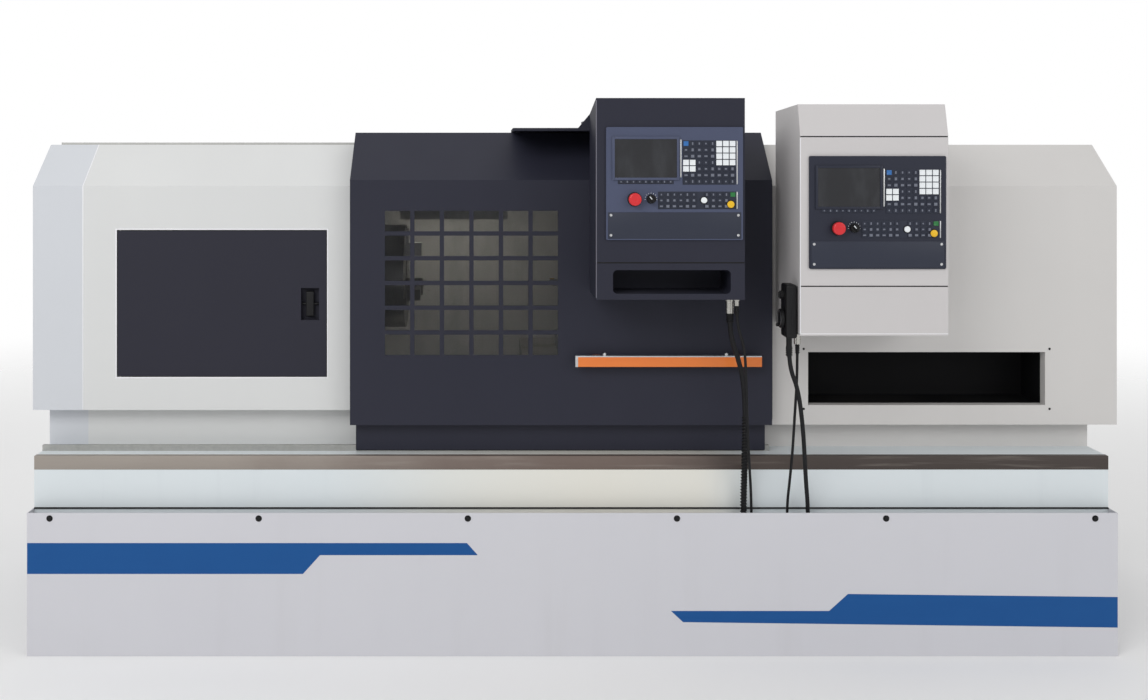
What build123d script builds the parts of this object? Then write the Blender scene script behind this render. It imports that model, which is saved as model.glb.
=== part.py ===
"""CNC turning lathe: enclosed flat-bed machine with a sliding door and two operator consoles.

Millimetres, +Z up, +X towards the tailstock, front towards -Y. The origin is on the floor,
at the centre of the four floor anchors.
"""
import os
from math import cos, pi, radians, sin, tan

from build123d import *

# Overall sizes
base_length = 3600.0
machine_depth = 1700.0
cover_top = 1690.0
left_overhang = 34.0
right_overhang = 70.0
sheet = 3.0
overrun = 5.0
running_gap = 0.05
slide_gap = 0.3
edge_gap = 3.0

# Distances from the front of the consoles back to the other front planes
console_depth = 345.0
door_proud = 60.0
ledge_depth = 90.0
skirt_gap = 57.0
sill_inset = 60.0
tray_clear = 20.0
ledge_lap = 20.0

# Levels above the floor, as shares of the height of the covers
skirt_share = 47.2 / 169
tray_overlap = 40.0
tray_top_share = 64.5 / 169
base_share = 56 / 169
cover_bottom_share = 78.2 / 169
cover_crease_share = 154.7 / 169
cover_slope_depth = 180.0
right_bottom_share = 73.2 / 169
door_bottom_share = 74.3 / 169
door_crease_share = 156.9 / 169
door_top_share = 173.2 / 169

# Base frame and floor anchors
base_wall = 25.0
anchor_inset_x = 200.0
anchor_inset_y = 125.0
anchor_pad = 220.0
anchor_pad_thickness = 40.0
anchor_hole_radius = 14.0
skirt_screw_radius = 8.0
skirt_screw_height = 4.0
skirt_screw_drop = 18.0
skirt_screw_inset = 75.0
skirt_screw_count = 6
skirt_screw_taper = 20.0

# Bed
bed_centre_share = 15 / 170
bed_width_share = 56 / 170
bed_overhang = 20.0
bed_end_gap = 100.0
guide_share = 82 / 169
rail_width = 90.0
trough_depth = 140.0
bed_window_length = 220.0
bed_window_height = 90.0
bed_window_depth = 45.0
bed_window_pitch = 330.0
bed_window_count = 6
bed_window_share = 62 / 169

# Spindle, headstock and drive
spindle_share = 118 / 169
spindle_radius = 70.0
spindle_bore_radius = 40.0
spindle_tail = 150.0
nose_radius = 130.0
nose_thickness = 35.0
nose_gap = 5.0
casing_left_share = -145 / 360
casing_right_share = -76 / 360
casing_top_share = 148 / 169
casing_wall = 60.0
bearing_outer_radius = 105.0
pulley_width = 90.0
pulley_standoff = 40.0
pulley_rim = 8.0
spindle_pulley_radius = 140.0
motor_pulley_radius = 80.0
belt_thickness = 8.0
motor_radius = 140.0
motor_length = 450.0
motor_gap = 50.0
motor_foot_height = 24.0
motor_foot_width = 240.0
motor_shaft_radius = 24.0
motor_shaft_seat = 50.0

# Chuck
chuck_radius = 200.0
chuck_thickness = 120.0
chuck_bore_radius = 45.0
jaw_count = 3
jaw_width = 52.0
jaw_depth = 40.0
jaw_inner_radius = 80.0
jaw_length = 105.0
jaw_step_length = 50.0
jaw_base_height = 10.0
jaw_step_height = 50.0

# Feed screw, saddle, cross slide and turret
screw_radius = 20.0
screw_stand_off = 75.0
screw_share = 70 / 169
screw_inset = 20.0
screw_bracket_inset = 60.0
screw_end_gap = 60.0
screw_bracket_thickness = 50.0
screw_bracket_half = 50.0
screw_seat = 30.0
servo_width = 130.0
servo_length = 210.0
carriage_share = 10 / 360
saddle_length = 500.0
saddle_share = 89 / 169
saddle_front_lap = 90.0
saddle_keeper = 35.0
saddle_keeper_drop = 60.0
apron_width = 200.0
apron_clear = 6.0
cross_width = 220.0
cross_front = 350.0
cross_rear = 150.0
cross_thickness = 60.0
turret_offset_y = 240.0
turret_size = 200.0
turret_share = 112.5 / 169
turret_height = 110.0
turret_pin_radius = 25.0
turret_pin_height = 60.0
tool_section = 25.0
tool_overhang = 45.0
tool_root = 60.0
tool_count = 4
tool_tip = 12.0

# Tailstock
tail_share = 95 / 360
tail_length = 380.0
tail_base_height = 80.0
tail_column_width = 220.0
barrel_radius = 90.0
barrel_overhang = 50.0
barrel_tail = 70.0
quill_radius = 45.0
quill_overhang = 60.0
quill_end_wall = 15.0
centre_shank_radius = 22.0
centre_shank_length = 60.0
centre_body_radius = 34.0
centre_body_length = 48.0
centre_tip_length = 70.0
centre_tip_radius = 1.0
wheel_radius = 120.0
wheel_rim = 18.0
wheel_thickness = 24.0
wheel_hub_radius = 30.0
wheel_shaft_radius = 15.0
wheel_spokes = 3
wheel_grip_radius = 10.0
wheel_grip_length = 70.0
wheel_gap = 10.0

# Covers
end_cover_length = 171.0
headstock_cover_share = -69 / 360
right_cover_share = 64 / 360
access_left_share = -154.7 / 360
access_right_share = -82.9 / 360
access_bottom_share = 89.5 / 169
access_top_share = 139.7 / 169
access_thickness = 8.0
access_axis_inset = 8.0
hinge_pin_radius = 2.0
hinge_pin_length = 30.0
hinge_lug = 24.0
pull_width = 62.0
pull_height = 110.0
pull_depth = 27.0
pull_inset = 24.0
pull_rise = 194.0
slot_left_share = 81.5 / 360
slot_right_share = 162.5 / 360
slot_bottom_share = 79.9 / 169
slot_top_share = 98 / 169
slot_jamb = 40.0
liner_depth = 160.0
cabinet_width = 800.0
cabinet_depth = 220.0
cabinet_height_share = 70 / 169
cabinet_inset = 200.0
cabinet_bottom_share = 90 / 169
roof_flange = 30.0

# Sliding door
door_lap_left = 54.0
door_lap_right = 39.0
door_step = 40.0
kick_inset = 16.0
door_clear = 6.0
door_slope_depth = 180.0
door_top_lap = 60.0
door_return = 40.0
shoe_width = 24.0
shoe_height = 20.0
rail_section = 16.0
rail_height = 20.0
roof_rail_height = 8.0
window_left_share = -62.6 / 360
window_right_share = -4.3 / 360
window_bottom_share = 97.9 / 169
window_top_share = 146.5 / 169
window_columns = 6
window_rows = 6
window_bar = 14.5
pane_lap = 24.0
handle_left_share = 1.5 / 360
handle_right_share = 63.5 / 360
handle_share = 94.6 / 169
handle_height = 34.0
handle_thickness = 10.0
handle_gap = 35.0
handle_post = 24.0
handle_post_inset = 70.0

# Consoles
console_wall = 4.0
console_seam = 4.0
console_seam_depth = 2.0
dark_width = 468.0
console_gap = 174.0
dark_bottom_share = 119.7 / 169
dark_top_share = 183.3 / 169
dark_roof_drop = 43.0
dark_split_share = 131.6 / 169
door_gap = 25.0
pocket_inset_left = 53.0
pocket_inset_right = 44.0
pocket_inset_bottom = 19.0
pocket_inset_top = 25.0
tray_pocket_depth = 170.0
tray_pocket_radius = 14.0
arm_left_share = -19.5 / 360
arm_inset = 50.0
arm_clear = 3.0
arm_height = 40.0
arm_duct_height = 9.0
arm_length = 400.0
arm_foot = 60.0
gusset_reach = 42.0
gusset_lap = 80.0
gusset_thickness = 8.0
light_gap = 25.0
light_width = 466.0
light_bottom_share = 108.4 / 169
light_split_share = 123.8 / 169
light_cap_share = 171.3 / 169
light_top_share = 181.4 / 169
cap_lean = 30.0
cap_fall = 12.0

# Control panels, measured from each panel's left and top edge
panel_width = 430.0
panel_height = 355.0
panel_thickness = 6.0
panel_corner = 5.0
panel_lap = 16.0
dark_panel_inset = 31.0
dark_panel_drop = 92.0
light_panel_inset = 27.0
light_panel_drop = 164.0
screen_left = 27.0
screen_top = 38.0
screen_width = 195.0
screen_height = 121.0
screen_thickness = 1.5
membrane = 1.0
key_height = 2.0
key_share = 0.72
soft_left = 37.0
soft_top = 165.0
soft_width = 175.0
soft_height = 14.0
soft_columns = 9
mdi_left = 240.0
mdi_top = 42.0
mdi_width = 167.0
mdi_height = 139.0
mdi_columns = 8
mdi_rows = 7
ops_left = 163.0
ops_top = 203.0
ops_width = 245.0
ops_height = 55.0
ops_columns = 12
ops_rows = 3
estop_left = 89.0
estop_drop = 227.0
estop_radius = 20.0
estop_head = 14.0
estop_stem_radius = 8.0
estop_stand_off = 12.0
knob_left = 141.0
knob_drop = 226.0
knob_radius = 14.0
knob_height = 18.0
knob_stem_radius = 5.0
knob_gap = 1.0
stem_seat = 20.0
panel_screw_inset = 15.0
panel_screw_radius = 3.5
panel_screw_height = 1.5
panel_screw_drop = 277.0

# Hand-wheel pendant
pendant_width = 36.0
pendant_depth = 80.0
pendant_height = 170.0
pendant_lift = -12.0
pendant_setback = 20.0
pendant_hook = 3.0
pendant_corner = 8.0
pendant_gland_radius = 9.0
pendant_gland_length = 30.0
pendant_wheel_radius = 30.0
pendant_wheel_thickness = 12.0
pendant_wheel_rise = 60.0
pendant_wheel_gap = 1.0
pendant_stem_radius = 6.0
pendant_stem_seat = 15.0
pendant_crank_radius = 5.0
pendant_crank_length = 10.0
selector_radius = 13.0
selector_height = 12.0
selector_rise = 135.0

# Cables
plug_radius = 13.0
plug_length = 60.0
gland_radius = 8.0
gland_length = 25.0
light_plug_radius = 11.0
light_plug_length = 40.0
cable_entry_share = 42 / 169
entry_height = 60.0
entry_length = 270.0
entry_clear = 7.0
main_cable_radius = 8.0
thin_cable_radius = 4.5
pendant_cable_radius = 7.0
bend_share = 0.45
cable_setback = 28.0
main_inset = 19.0
main_setback = 150.0
main_entry = 40.0
thin_inset = 14.0
thin_setback = 60.0
thin_entry = 67.0
pendant_entry = 255.0
light_plug_inset = 15.0
light_plug_setback = 100.0
light_entry = 185.0

# Planes and centres worked out from the sizes above
half_base = base_length / 2
left_end = -half_base - left_overhang
right_end = half_base + right_overhang
half_depth = machine_depth / 2
skirt_height = skirt_share * cover_top
tray_top = tray_top_share * cover_top
base_height = base_share * cover_top
cover_bottom = cover_bottom_share * cover_top
cover_crease = cover_crease_share * cover_top
right_bottom = right_bottom_share * cover_top
door_bottom = door_bottom_share * cover_top
door_crease = door_crease_share * cover_top
door_top = door_top_share * cover_top
guide_top = guide_share * cover_top
bed_window_level = bed_window_share * cover_top
spindle_height = spindle_share * cover_top
casing_top = casing_top_share * cover_top
screw_height = screw_share * cover_top
saddle_top = saddle_share * cover_top
turret_bottom = turret_share * cover_top
access_bottom = access_bottom_share * cover_top
access_top = access_top_share * cover_top
slot_bottom = slot_bottom_share * cover_top
slot_top = slot_top_share * cover_top
cabinet_bottom = cabinet_bottom_share * cover_top
cabinet_height = cabinet_height_share * cover_top
window_bottom = window_bottom_share * cover_top
window_top = window_top_share * cover_top
handle_bottom = handle_share * cover_top
dark_bottom = dark_bottom_share * cover_top
dark_top = dark_top_share * cover_top
dark_split = dark_split_share * cover_top
light_bottom = light_bottom_share * cover_top
light_split = light_split_share * cover_top
light_cap_seam = light_cap_share * cover_top
light_top = light_top_share * cover_top
cable_exit_z = cable_entry_share * cover_top
casing_left = casing_left_share * base_length
casing_right = casing_right_share * base_length
carriage_x = carriage_share * base_length
tail_left = tail_share * base_length
headstock_cover_right = headstock_cover_share * base_length
right_cover_left = right_cover_share * base_length
access_left = access_left_share * base_length
access_right = access_right_share * base_length
slot_left = slot_left_share * base_length
slot_right = slot_right_share * base_length
window_left = window_left_share * base_length
window_right = window_right_share * base_length
handle_left = handle_left_share * base_length
handle_right = handle_right_share * base_length
arm_left = arm_left_share * base_length
bed_centre_y = bed_centre_share * machine_depth
bed_width = bed_width_share * machine_depth
bed_left = casing_left - bed_overhang
bed_right = half_base - bed_end_gap
screw_left = casing_right + screw_inset
screw_bracket_left = casing_right + screw_bracket_inset
screw_bracket_right = half_base - screw_end_gap - servo_length - screw_bracket_thickness
cabinet_left = right_end - cabinet_inset - cabinet_width
door_left = headstock_cover_right - door_lap_left
door_right = right_cover_left + door_lap_right
rail_left = -half_base + sheet
light_left = door_right + light_gap
light_right = light_left + light_width
dark_right = light_left - console_gap
dark_left = dark_right - dark_width
tray_left = dark_left + pocket_inset_left
tray_right = dark_right - pocket_inset_right
tray_pocket_bottom = dark_bottom + pocket_inset_bottom
tray_pocket_top = dark_split - pocket_inset_top
arm_right = dark_right - arm_inset
dark_panel_left = dark_left + dark_panel_inset
dark_panel_top = dark_top - dark_panel_drop
light_panel_left = light_left + light_panel_inset
light_panel_top = light_top - light_panel_drop
pendant_bottom = light_bottom + pendant_lift
skirt_screw_pitch = (base_length - 2 * skirt_screw_inset) / (skirt_screw_count - 1)
console_front = -half_depth
cover_front = console_front + console_depth
door_front = cover_front - door_proud
tray_front = cover_front - ledge_depth
skirt_back = tray_front - skirt_gap
skirt_front = skirt_back - sheet
sill_front = cover_front + sill_inset
base_front = tray_front + tray_clear
rear_face = half_depth
base_rear = rear_face - sheet
anchor_spacing_x = base_length - 2 * anchor_inset_x
anchor_spacing_y = 2 * (-base_front - anchor_inset_y)
pendant_front = console_front + pendant_setback
entry_left = dark_right
entry_right = entry_left + entry_length
bed_front = bed_centre_y - bed_width / 2
bed_rear = bed_centre_y + bed_width / 2
spindle_axis = (bed_centre_y, spindle_height)
screw_axis = (bed_front - screw_stand_off, screw_height)
motor_offset = bed_width / 2 + motor_gap + motor_radius
motor_axis = (bed_centre_y + motor_offset, base_height + motor_foot_height + motor_radius)
pulley_x = (casing_left - pulley_standoff - pulley_width, casing_left - pulley_standoff)
nose_x = (casing_right + nose_gap, casing_right + nose_gap + nose_thickness)
chuck_x = (nose_x[1], nose_x[1] + chuck_thickness)
barrel_x = (tail_left - barrel_overhang, tail_left + tail_length + barrel_tail)
quill_x = (barrel_x[0] - quill_overhang, barrel_x[1] - quill_end_wall)
turret_y = bed_centre_y - turret_offset_y
strip_front = door_front + door_step
dark_back = door_front - door_gap
panel_front = console_front - panel_thickness

os.makedirs("parts", exist_ok=True)


def block(x, y, z, mode=Mode.ADD):
    """A box between the low and high limits given for each axis."""
    with Locations(((x[0] + x[1]) / 2, (y[0] + y[1]) / 2, (z[0] + z[1]) / 2)):
        Box(x[1] - x[0], y[1] - y[0], z[1] - z[0], mode=mode)


def rod(axis, x, radius, mode=Mode.ADD):
    """A round bar along X about an axis given as (y, z)."""
    with BuildSketch(Plane.YZ.offset(x[0])) as section:
        with Locations(axis):
            Circle(radius)
    extrude(section.sketch, amount=x[1] - x[0], mode=mode)


def post(centre, z, radius, mode=Mode.ADD):
    """A round bar along Z about a centre given as (x, y)."""
    with BuildSketch(Plane.XY.offset(z[0])) as section:
        with Locations(centre):
            Circle(radius)
    extrude(section.sketch, amount=z[1] - z[0], mode=mode)


def stud(centre, y, radius, mode=Mode.ADD):
    """A round bar along Y, from y[0] back to y[1], about a centre given as (x, z)."""
    with BuildSketch(Plane.XZ.offset(-y[0])) as section:
        with Locations(centre):
            Circle(radius)
    extrude(section.sketch, amount=y[0] - y[1], mode=mode)


def prism(points, x, mode=Mode.ADD):
    """A (y, z) outline carried along X."""
    with BuildSketch(Plane.YZ.offset(x[0])) as section:
        with BuildLine():
            Polyline(*points, close=True)
        make_face()
    extrude(section.sketch, amount=x[1] - x[0], mode=mode)


def slab(points, y, mode=Mode.ADD):
    """An (x, z) outline carried along Y from y[0] back to y[1]."""
    with BuildSketch(Plane.XZ.offset(-y[0])) as section:
        with BuildLine():
            Polyline(*points, close=True)
        make_face()
    extrude(section.sketch, amount=y[0] - y[1], mode=mode)


def folded(points, x, thickness):
    """A folded sheet: a (y, z) path thickened to its right and carried along X."""
    with BuildSketch(Plane.YZ.offset(x[0])) as section:
        with BuildLine():
            Polyline(*points)
            offset(amount=thickness, side=Side.RIGHT, kind=Kind.INTERSECTION)
        make_face()
    extrude(section.sketch, amount=x[1] - x[0])


def save(builder, name):
    """Label a finished piece and write it as one STEP file."""
    builder.part.label = name
    export_step(builder.part, f"parts/{name}.step")


# Base frame with its floor anchors
with BuildPart() as base_frame:
    base_x = half_base - sheet
    block((-base_x, base_x), (base_front, base_rear), (0, base_height))
    block(
        (-base_x + base_wall, base_x - base_wall),
        (base_front + base_wall, base_rear - base_wall),
        (-overrun, base_height - base_wall),
        mode=Mode.SUBTRACT,
    )
    for pad_x in (-anchor_spacing_x / 2, anchor_spacing_x / 2):
        for pad_y in (-anchor_spacing_y / 2, anchor_spacing_y / 2):
            pad_end = base_front if pad_y < 0 else base_rear
            block(
                (pad_x - anchor_pad / 2, pad_x + anchor_pad / 2),
                sorted((pad_end, pad_y - anchor_pad / 2 if pad_y > 0 else pad_y + anchor_pad / 2)),
                (0, anchor_pad_thickness),
            )
            post(
                (pad_x, pad_y),
                (-overrun, anchor_pad_thickness + overrun),
                anchor_hole_radius,
                mode=Mode.SUBTRACT,
            )
save(base_frame, "base_frame")

# Front skirt, folded round both ends of the base
with BuildPart() as front_skirt:
    block((-half_base, half_base), (skirt_front, skirt_back), (0, skirt_height))
    for end_x in (-half_base, half_base - sheet):
        block((end_x, end_x + sheet), (skirt_front, base_rear), (0, skirt_height))
save(front_skirt, "front_skirt")

with BuildPart() as skirt_screws:
    with BuildSketch(Plane.XZ.offset(-skirt_front)):
        with Locations((0, skirt_height - skirt_screw_drop)):
            with GridLocations(skirt_screw_pitch, skirt_screw_pitch, skirt_screw_count, 1):
                Circle(skirt_screw_radius)
    extrude(amount=skirt_screw_height, taper=skirt_screw_taper)
save(skirt_screws, "skirt_screws")

# Chip tray with its ledge
with BuildPart() as chip_tray:
    tray_x = half_base - sheet
    tray_rear = sill_front + ledge_lap
    tray_bottom = skirt_height - tray_overlap
    folded(
        [
            (tray_front, tray_bottom),
            (tray_front, tray_top),
            (tray_rear, tray_top),
            (tray_rear, base_height),
        ],
        (-tray_x, tray_x),
        sheet,
    )
    for end_x in (-tray_x, tray_x - sheet):
        prism(
            [
                (tray_front, tray_bottom),
                (tray_front, tray_top),
                (tray_rear, tray_top),
                (tray_rear, base_height),
                (base_front, base_height),
                (base_front, tray_bottom),
            ],
            (end_x, end_x + sheet),
        )
save(chip_tray, "chip_tray")

# Box behind the skirt where the cables go into the base
with BuildPart() as cable_entry_box:
    block(
        (entry_left, entry_right),
        (skirt_back + entry_clear, base_front),
        (cable_exit_z - entry_height, cable_exit_z),
    )
save(cable_entry_box, "cable_entry_box")

# Bed with its two guideways, and the brackets that carry the feed screw
with BuildPart() as bed:
    trough_bottom = guide_top - trough_depth
    prism(
        [
            (bed_front, base_height),
            (bed_front, guide_top),
            (bed_front + rail_width, guide_top),
            (bed_front + rail_width, trough_bottom),
            (bed_rear - rail_width, trough_bottom),
            (bed_rear - rail_width, guide_top),
            (bed_rear, guide_top),
            (bed_rear, base_height),
        ],
        (bed_left, bed_right),
    )
    for index in range(bed_window_count):
        window_x = (index - (bed_window_count - 1) / 2) * bed_window_pitch
        block(
            (window_x - bed_window_length / 2, window_x + bed_window_length / 2),
            (bed_front - overrun, bed_front + bed_window_depth),
            (bed_window_level - bed_window_height / 2, bed_window_level + bed_window_height / 2),
            mode=Mode.SUBTRACT,
        )
    for bracket_x in (screw_bracket_left, screw_bracket_right):
        bracket_ends = (bracket_x, bracket_x + screw_bracket_thickness)
        block(
            bracket_ends,
            (screw_axis[0] - screw_bracket_half, bed_front),
            (screw_height - screw_bracket_half, screw_height + screw_bracket_half),
        )
        rod(screw_axis, bracket_ends, screw_radius + running_gap, mode=Mode.SUBTRACT)
save(bed, "bed")

# Headstock casing, open below, with a bearing seat in each end wall
with BuildPart() as headstock_casing:
    block((casing_left, casing_right), (bed_front, bed_rear), (guide_top, casing_top))
    block(
        (casing_left + casing_wall, casing_right - casing_wall),
        (bed_front + casing_wall, bed_rear - casing_wall),
        (guide_top - overrun, casing_top - casing_wall),
        mode=Mode.SUBTRACT,
    )
    rod(
        spindle_axis,
        (casing_left - overrun, casing_right + overrun),
        bearing_outer_radius + running_gap,
        mode=Mode.SUBTRACT,
    )
save(headstock_casing, "headstock_casing")

with BuildPart() as spindle_bearings:
    for bearing_x in (casing_left, casing_right - casing_wall):
        bearing_ends = (bearing_x, bearing_x + casing_wall)
        rod(spindle_axis, bearing_ends, bearing_outer_radius)
        rod(spindle_axis, bearing_ends, spindle_radius + running_gap, mode=Mode.SUBTRACT)
save(spindle_bearings, "spindle_bearings")

with BuildPart() as spindle:
    spindle_left = casing_left - spindle_tail
    rod(spindle_axis, (spindle_left, nose_x[0]), spindle_radius)
    rod(spindle_axis, nose_x, nose_radius)
    spindle_ends = (spindle_left - overrun, nose_x[1] + overrun)
    rod(spindle_axis, spindle_ends, spindle_bore_radius, mode=Mode.SUBTRACT)
save(spindle, "spindle")

# Belt drive from the motor to the spindle
with BuildPart() as spindle_pulley:
    rod(spindle_axis, pulley_x, spindle_pulley_radius)
    rod(spindle_axis, pulley_x, spindle_radius + running_gap, mode=Mode.SUBTRACT)
save(spindle_pulley, "spindle_pulley")

with BuildPart() as motor_pulley:
    rod(motor_axis, pulley_x, motor_pulley_radius)
    rod(motor_axis, (pulley_x[1], casing_left + motor_shaft_seat), motor_shaft_radius)
save(motor_pulley, "motor_pulley")

with BuildPart() as drive_belt:
    for belt_lift, belt_mode in ((slide_gap + belt_thickness, Mode.ADD), (slide_gap, Mode.SUBTRACT)):
        with BuildSketch(Plane.YZ.offset(pulley_x[0] + pulley_rim)):
            with Locations(spindle_axis):
                Circle(spindle_pulley_radius + belt_lift)
            with Locations(motor_axis):
                Circle(motor_pulley_radius + belt_lift)
            make_hull()
        extrude(amount=pulley_width - 2 * pulley_rim, mode=belt_mode)
save(drive_belt, "drive_belt")

with BuildPart() as spindle_motor:
    motor_ends = (casing_left, casing_left + motor_length)
    rod(motor_axis, motor_ends, motor_radius)
    block(
        motor_ends,
        (motor_axis[0] - motor_foot_width / 2, motor_axis[0] + motor_foot_width / 2),
        (base_height, base_height + motor_foot_height + motor_radius / 2),
    )
    rod(
        motor_axis,
        (casing_left - overrun, casing_left + motor_shaft_seat + slide_gap),
        motor_shaft_radius + running_gap,
        mode=Mode.SUBTRACT,
    )
save(spindle_motor, "spindle_motor")


# Chuck and its jaws
def jaw_plane(index):
    """A plane on the spindle axis whose X points out along one jaw and whose Z is along the spindle."""
    angle = radians(90 + index * 360 / jaw_count)
    return Plane(
        origin=(0, spindle_axis[0], spindle_axis[1]),
        x_dir=(0, cos(angle), sin(angle)),
        z_dir=(1, 0, 0),
    )


with BuildPart() as chuck_body:
    rod(spindle_axis, chuck_x, chuck_radius)
    rod(spindle_axis, (chuck_x[0] - overrun, chuck_x[1] + overrun), chuck_bore_radius, mode=Mode.SUBTRACT)
    for index in range(jaw_count):
        with Locations(jaw_plane(index)):
            with Locations(((chuck_radius + overrun) / 2, 0, chuck_x[1] - jaw_depth / 2)):
                Box(chuck_radius + overrun, jaw_width, jaw_depth, mode=Mode.SUBTRACT)
save(chuck_body, "chuck_body")

for index in range(jaw_count):
    with BuildPart(jaw_plane(index)) as chuck_jaw:
        jaw_bottom = chuck_x[1] - jaw_depth + slide_gap
        jaw_shoulder = chuck_x[1] + jaw_base_height
        jaw_tip = jaw_shoulder + jaw_step_height
        with Locations((jaw_inner_radius + jaw_length / 2, 0, (jaw_bottom + jaw_shoulder) / 2)):
            Box(jaw_length, jaw_width - 2 * slide_gap, jaw_shoulder - jaw_bottom)
        with Locations((jaw_inner_radius + jaw_step_length / 2, 0, (jaw_shoulder + jaw_tip) / 2)):
            Box(jaw_step_length, jaw_width - 2 * slide_gap, jaw_tip - jaw_shoulder)
    save(chuck_jaw, f"chuck_jaw_{index + 1}")

# Feed screw and its motor
with BuildPart() as z_screw:
    screw_right = screw_bracket_right + screw_bracket_thickness
    rod(screw_axis, (screw_left, screw_right + screw_seat), screw_radius)
save(z_screw, "z_screw")

with BuildPart() as z_servo_motor:
    block(
        (screw_right, screw_right + servo_length),
        (screw_axis[0] - servo_width / 2, screw_axis[0] + servo_width / 2),
        (screw_height - servo_width / 2, screw_height + servo_width / 2),
    )
    rod(
        screw_axis,
        (screw_right - overrun, screw_right + screw_seat + slide_gap),
        screw_radius + running_gap,
        mode=Mode.SUBTRACT,
    )
    fillet(z_servo_motor.edges().filter_by(Axis.X).group_by(SortBy.LENGTH)[-1], servo_width / 16)
save(z_servo_motor, "z_servo_motor")

# Saddle with its apron, which holds the screw's nut
with BuildPart() as saddle:
    saddle_x = (carriage_x - saddle_length / 2, carriage_x + saddle_length / 2)
    apron_x = (carriage_x - apron_width / 2, carriage_x + apron_width / 2)
    saddle_bottom = guide_top + slide_gap
    saddle_y = (screw_axis[0] - saddle_front_lap / 2, bed_rear + apron_clear + saddle_keeper)
    block(saddle_x, saddle_y, (saddle_bottom, saddle_top))
    block(
        saddle_x,
        (bed_rear + apron_clear, saddle_y[1]),
        (guide_top - saddle_keeper_drop, saddle_bottom),
    )
    block(
        apron_x,
        (saddle_y[0], bed_front - apron_clear),
        (screw_height - screw_bracket_half, saddle_bottom),
    )
    rod(screw_axis, apron_x, screw_radius + running_gap, mode=Mode.SUBTRACT)
save(saddle, "saddle")

# Cross slide with the column and pivot of the tool turret
with BuildPart() as cross_slide:
    cross_x = (carriage_x - cross_width / 2, carriage_x + cross_width / 2)
    cross_bottom = saddle_top + slide_gap
    block(
        cross_x,
        (bed_centre_y - cross_front, bed_centre_y + cross_rear),
        (cross_bottom, cross_bottom + cross_thickness),
    )
    block(
        (carriage_x - turret_size / 2, carriage_x + turret_size / 2),
        (turret_y - turret_size / 2, turret_y + turret_size / 2),
        (cross_bottom + cross_thickness, turret_bottom),
    )
    post((carriage_x, turret_y), (turret_bottom, turret_bottom + turret_pin_height), turret_pin_radius)
save(cross_slide, "cross_slide")

with BuildPart() as tool_turret:
    turret_low = turret_bottom + slide_gap
    turret_top = turret_low + turret_height
    block(
        (carriage_x - turret_size / 2, carriage_x + turret_size / 2),
        (turret_y - turret_size / 2, turret_y + turret_size / 2),
        (turret_low, turret_top),
    )
    fillet(tool_turret.edges().filter_by(Axis.Z), turret_size / 16)
    post(
        (carriage_x, turret_y),
        (turret_low - overrun, turret_bottom + turret_pin_height + slide_gap),
        turret_pin_radius + running_gap,
        mode=Mode.SUBTRACT,
    )
    with Locations((carriage_x, turret_y, spindle_height - tool_section / 2)):
        with PolarLocations(turret_size / 2 - tool_section / 2, tool_count):
            with Locations((0, (turret_size / 2 + overrun - tool_root) / 2, 0)):
                Box(tool_section, turret_size / 2 + overrun + tool_root, tool_section, mode=Mode.SUBTRACT)
save(tool_turret, "tool_turret")

with BuildPart() as turning_tools:
    with Locations((carriage_x, turret_y, spindle_height - tool_section / 2)):
        with PolarLocations(turret_size / 2 - tool_section / 2, tool_count):
            with Locations((0, (turret_size / 2 + tool_overhang - tool_root) / 2, 0)):
                Box(tool_section, turret_size / 2 + tool_overhang + tool_root, tool_section)
            with Locations((0, turret_size / 2 + tool_overhang - tool_tip / 2, -tool_section / 2)):
                Box(tool_section, tool_tip, tool_section, mode=Mode.SUBTRACT)
save(turning_tools, "turning_tools")

# Tailstock, quill, live centre and handwheel
with BuildPart() as tailstock:
    tail_x = (tail_left, tail_left + tail_length)
    block(tail_x, (bed_front, bed_rear), (guide_top + slide_gap, guide_top + tail_base_height))
    block(
        tail_x,
        (bed_centre_y - tail_column_width / 2, bed_centre_y + tail_column_width / 2),
        (guide_top + tail_base_height, spindle_height),
    )
    rod(spindle_axis, barrel_x, barrel_radius)
    rod(
        spindle_axis,
        (barrel_x[0] - overrun, quill_x[1] + slide_gap),
        quill_radius + running_gap,
        mode=Mode.SUBTRACT,
    )
    rod(
        spindle_axis,
        (quill_x[1], barrel_x[1] + overrun),
        wheel_shaft_radius + running_gap,
        mode=Mode.SUBTRACT,
    )
save(tailstock, "tailstock")

with BuildPart() as quill:
    rod(spindle_axis, quill_x, quill_radius)
    rod(
        spindle_axis,
        (quill_x[0] - overrun, quill_x[0] + centre_shank_length + slide_gap),
        centre_shank_radius + running_gap,
        mode=Mode.SUBTRACT,
    )
save(quill, "quill")

with BuildPart() as live_centre:
    centre_face = quill_x[0] - slide_gap
    body_left = centre_face - centre_body_length
    rod(spindle_axis, (centre_face, quill_x[0] + centre_shank_length), centre_shank_radius)
    rod(spindle_axis, (body_left, centre_face), centre_body_radius)
    with Locations(Location((body_left - centre_tip_length / 2, *spindle_axis), (0, -90, 0))):
        Cone(centre_body_radius, centre_tip_radius, centre_tip_length)
save(live_centre, "live_centre")

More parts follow.
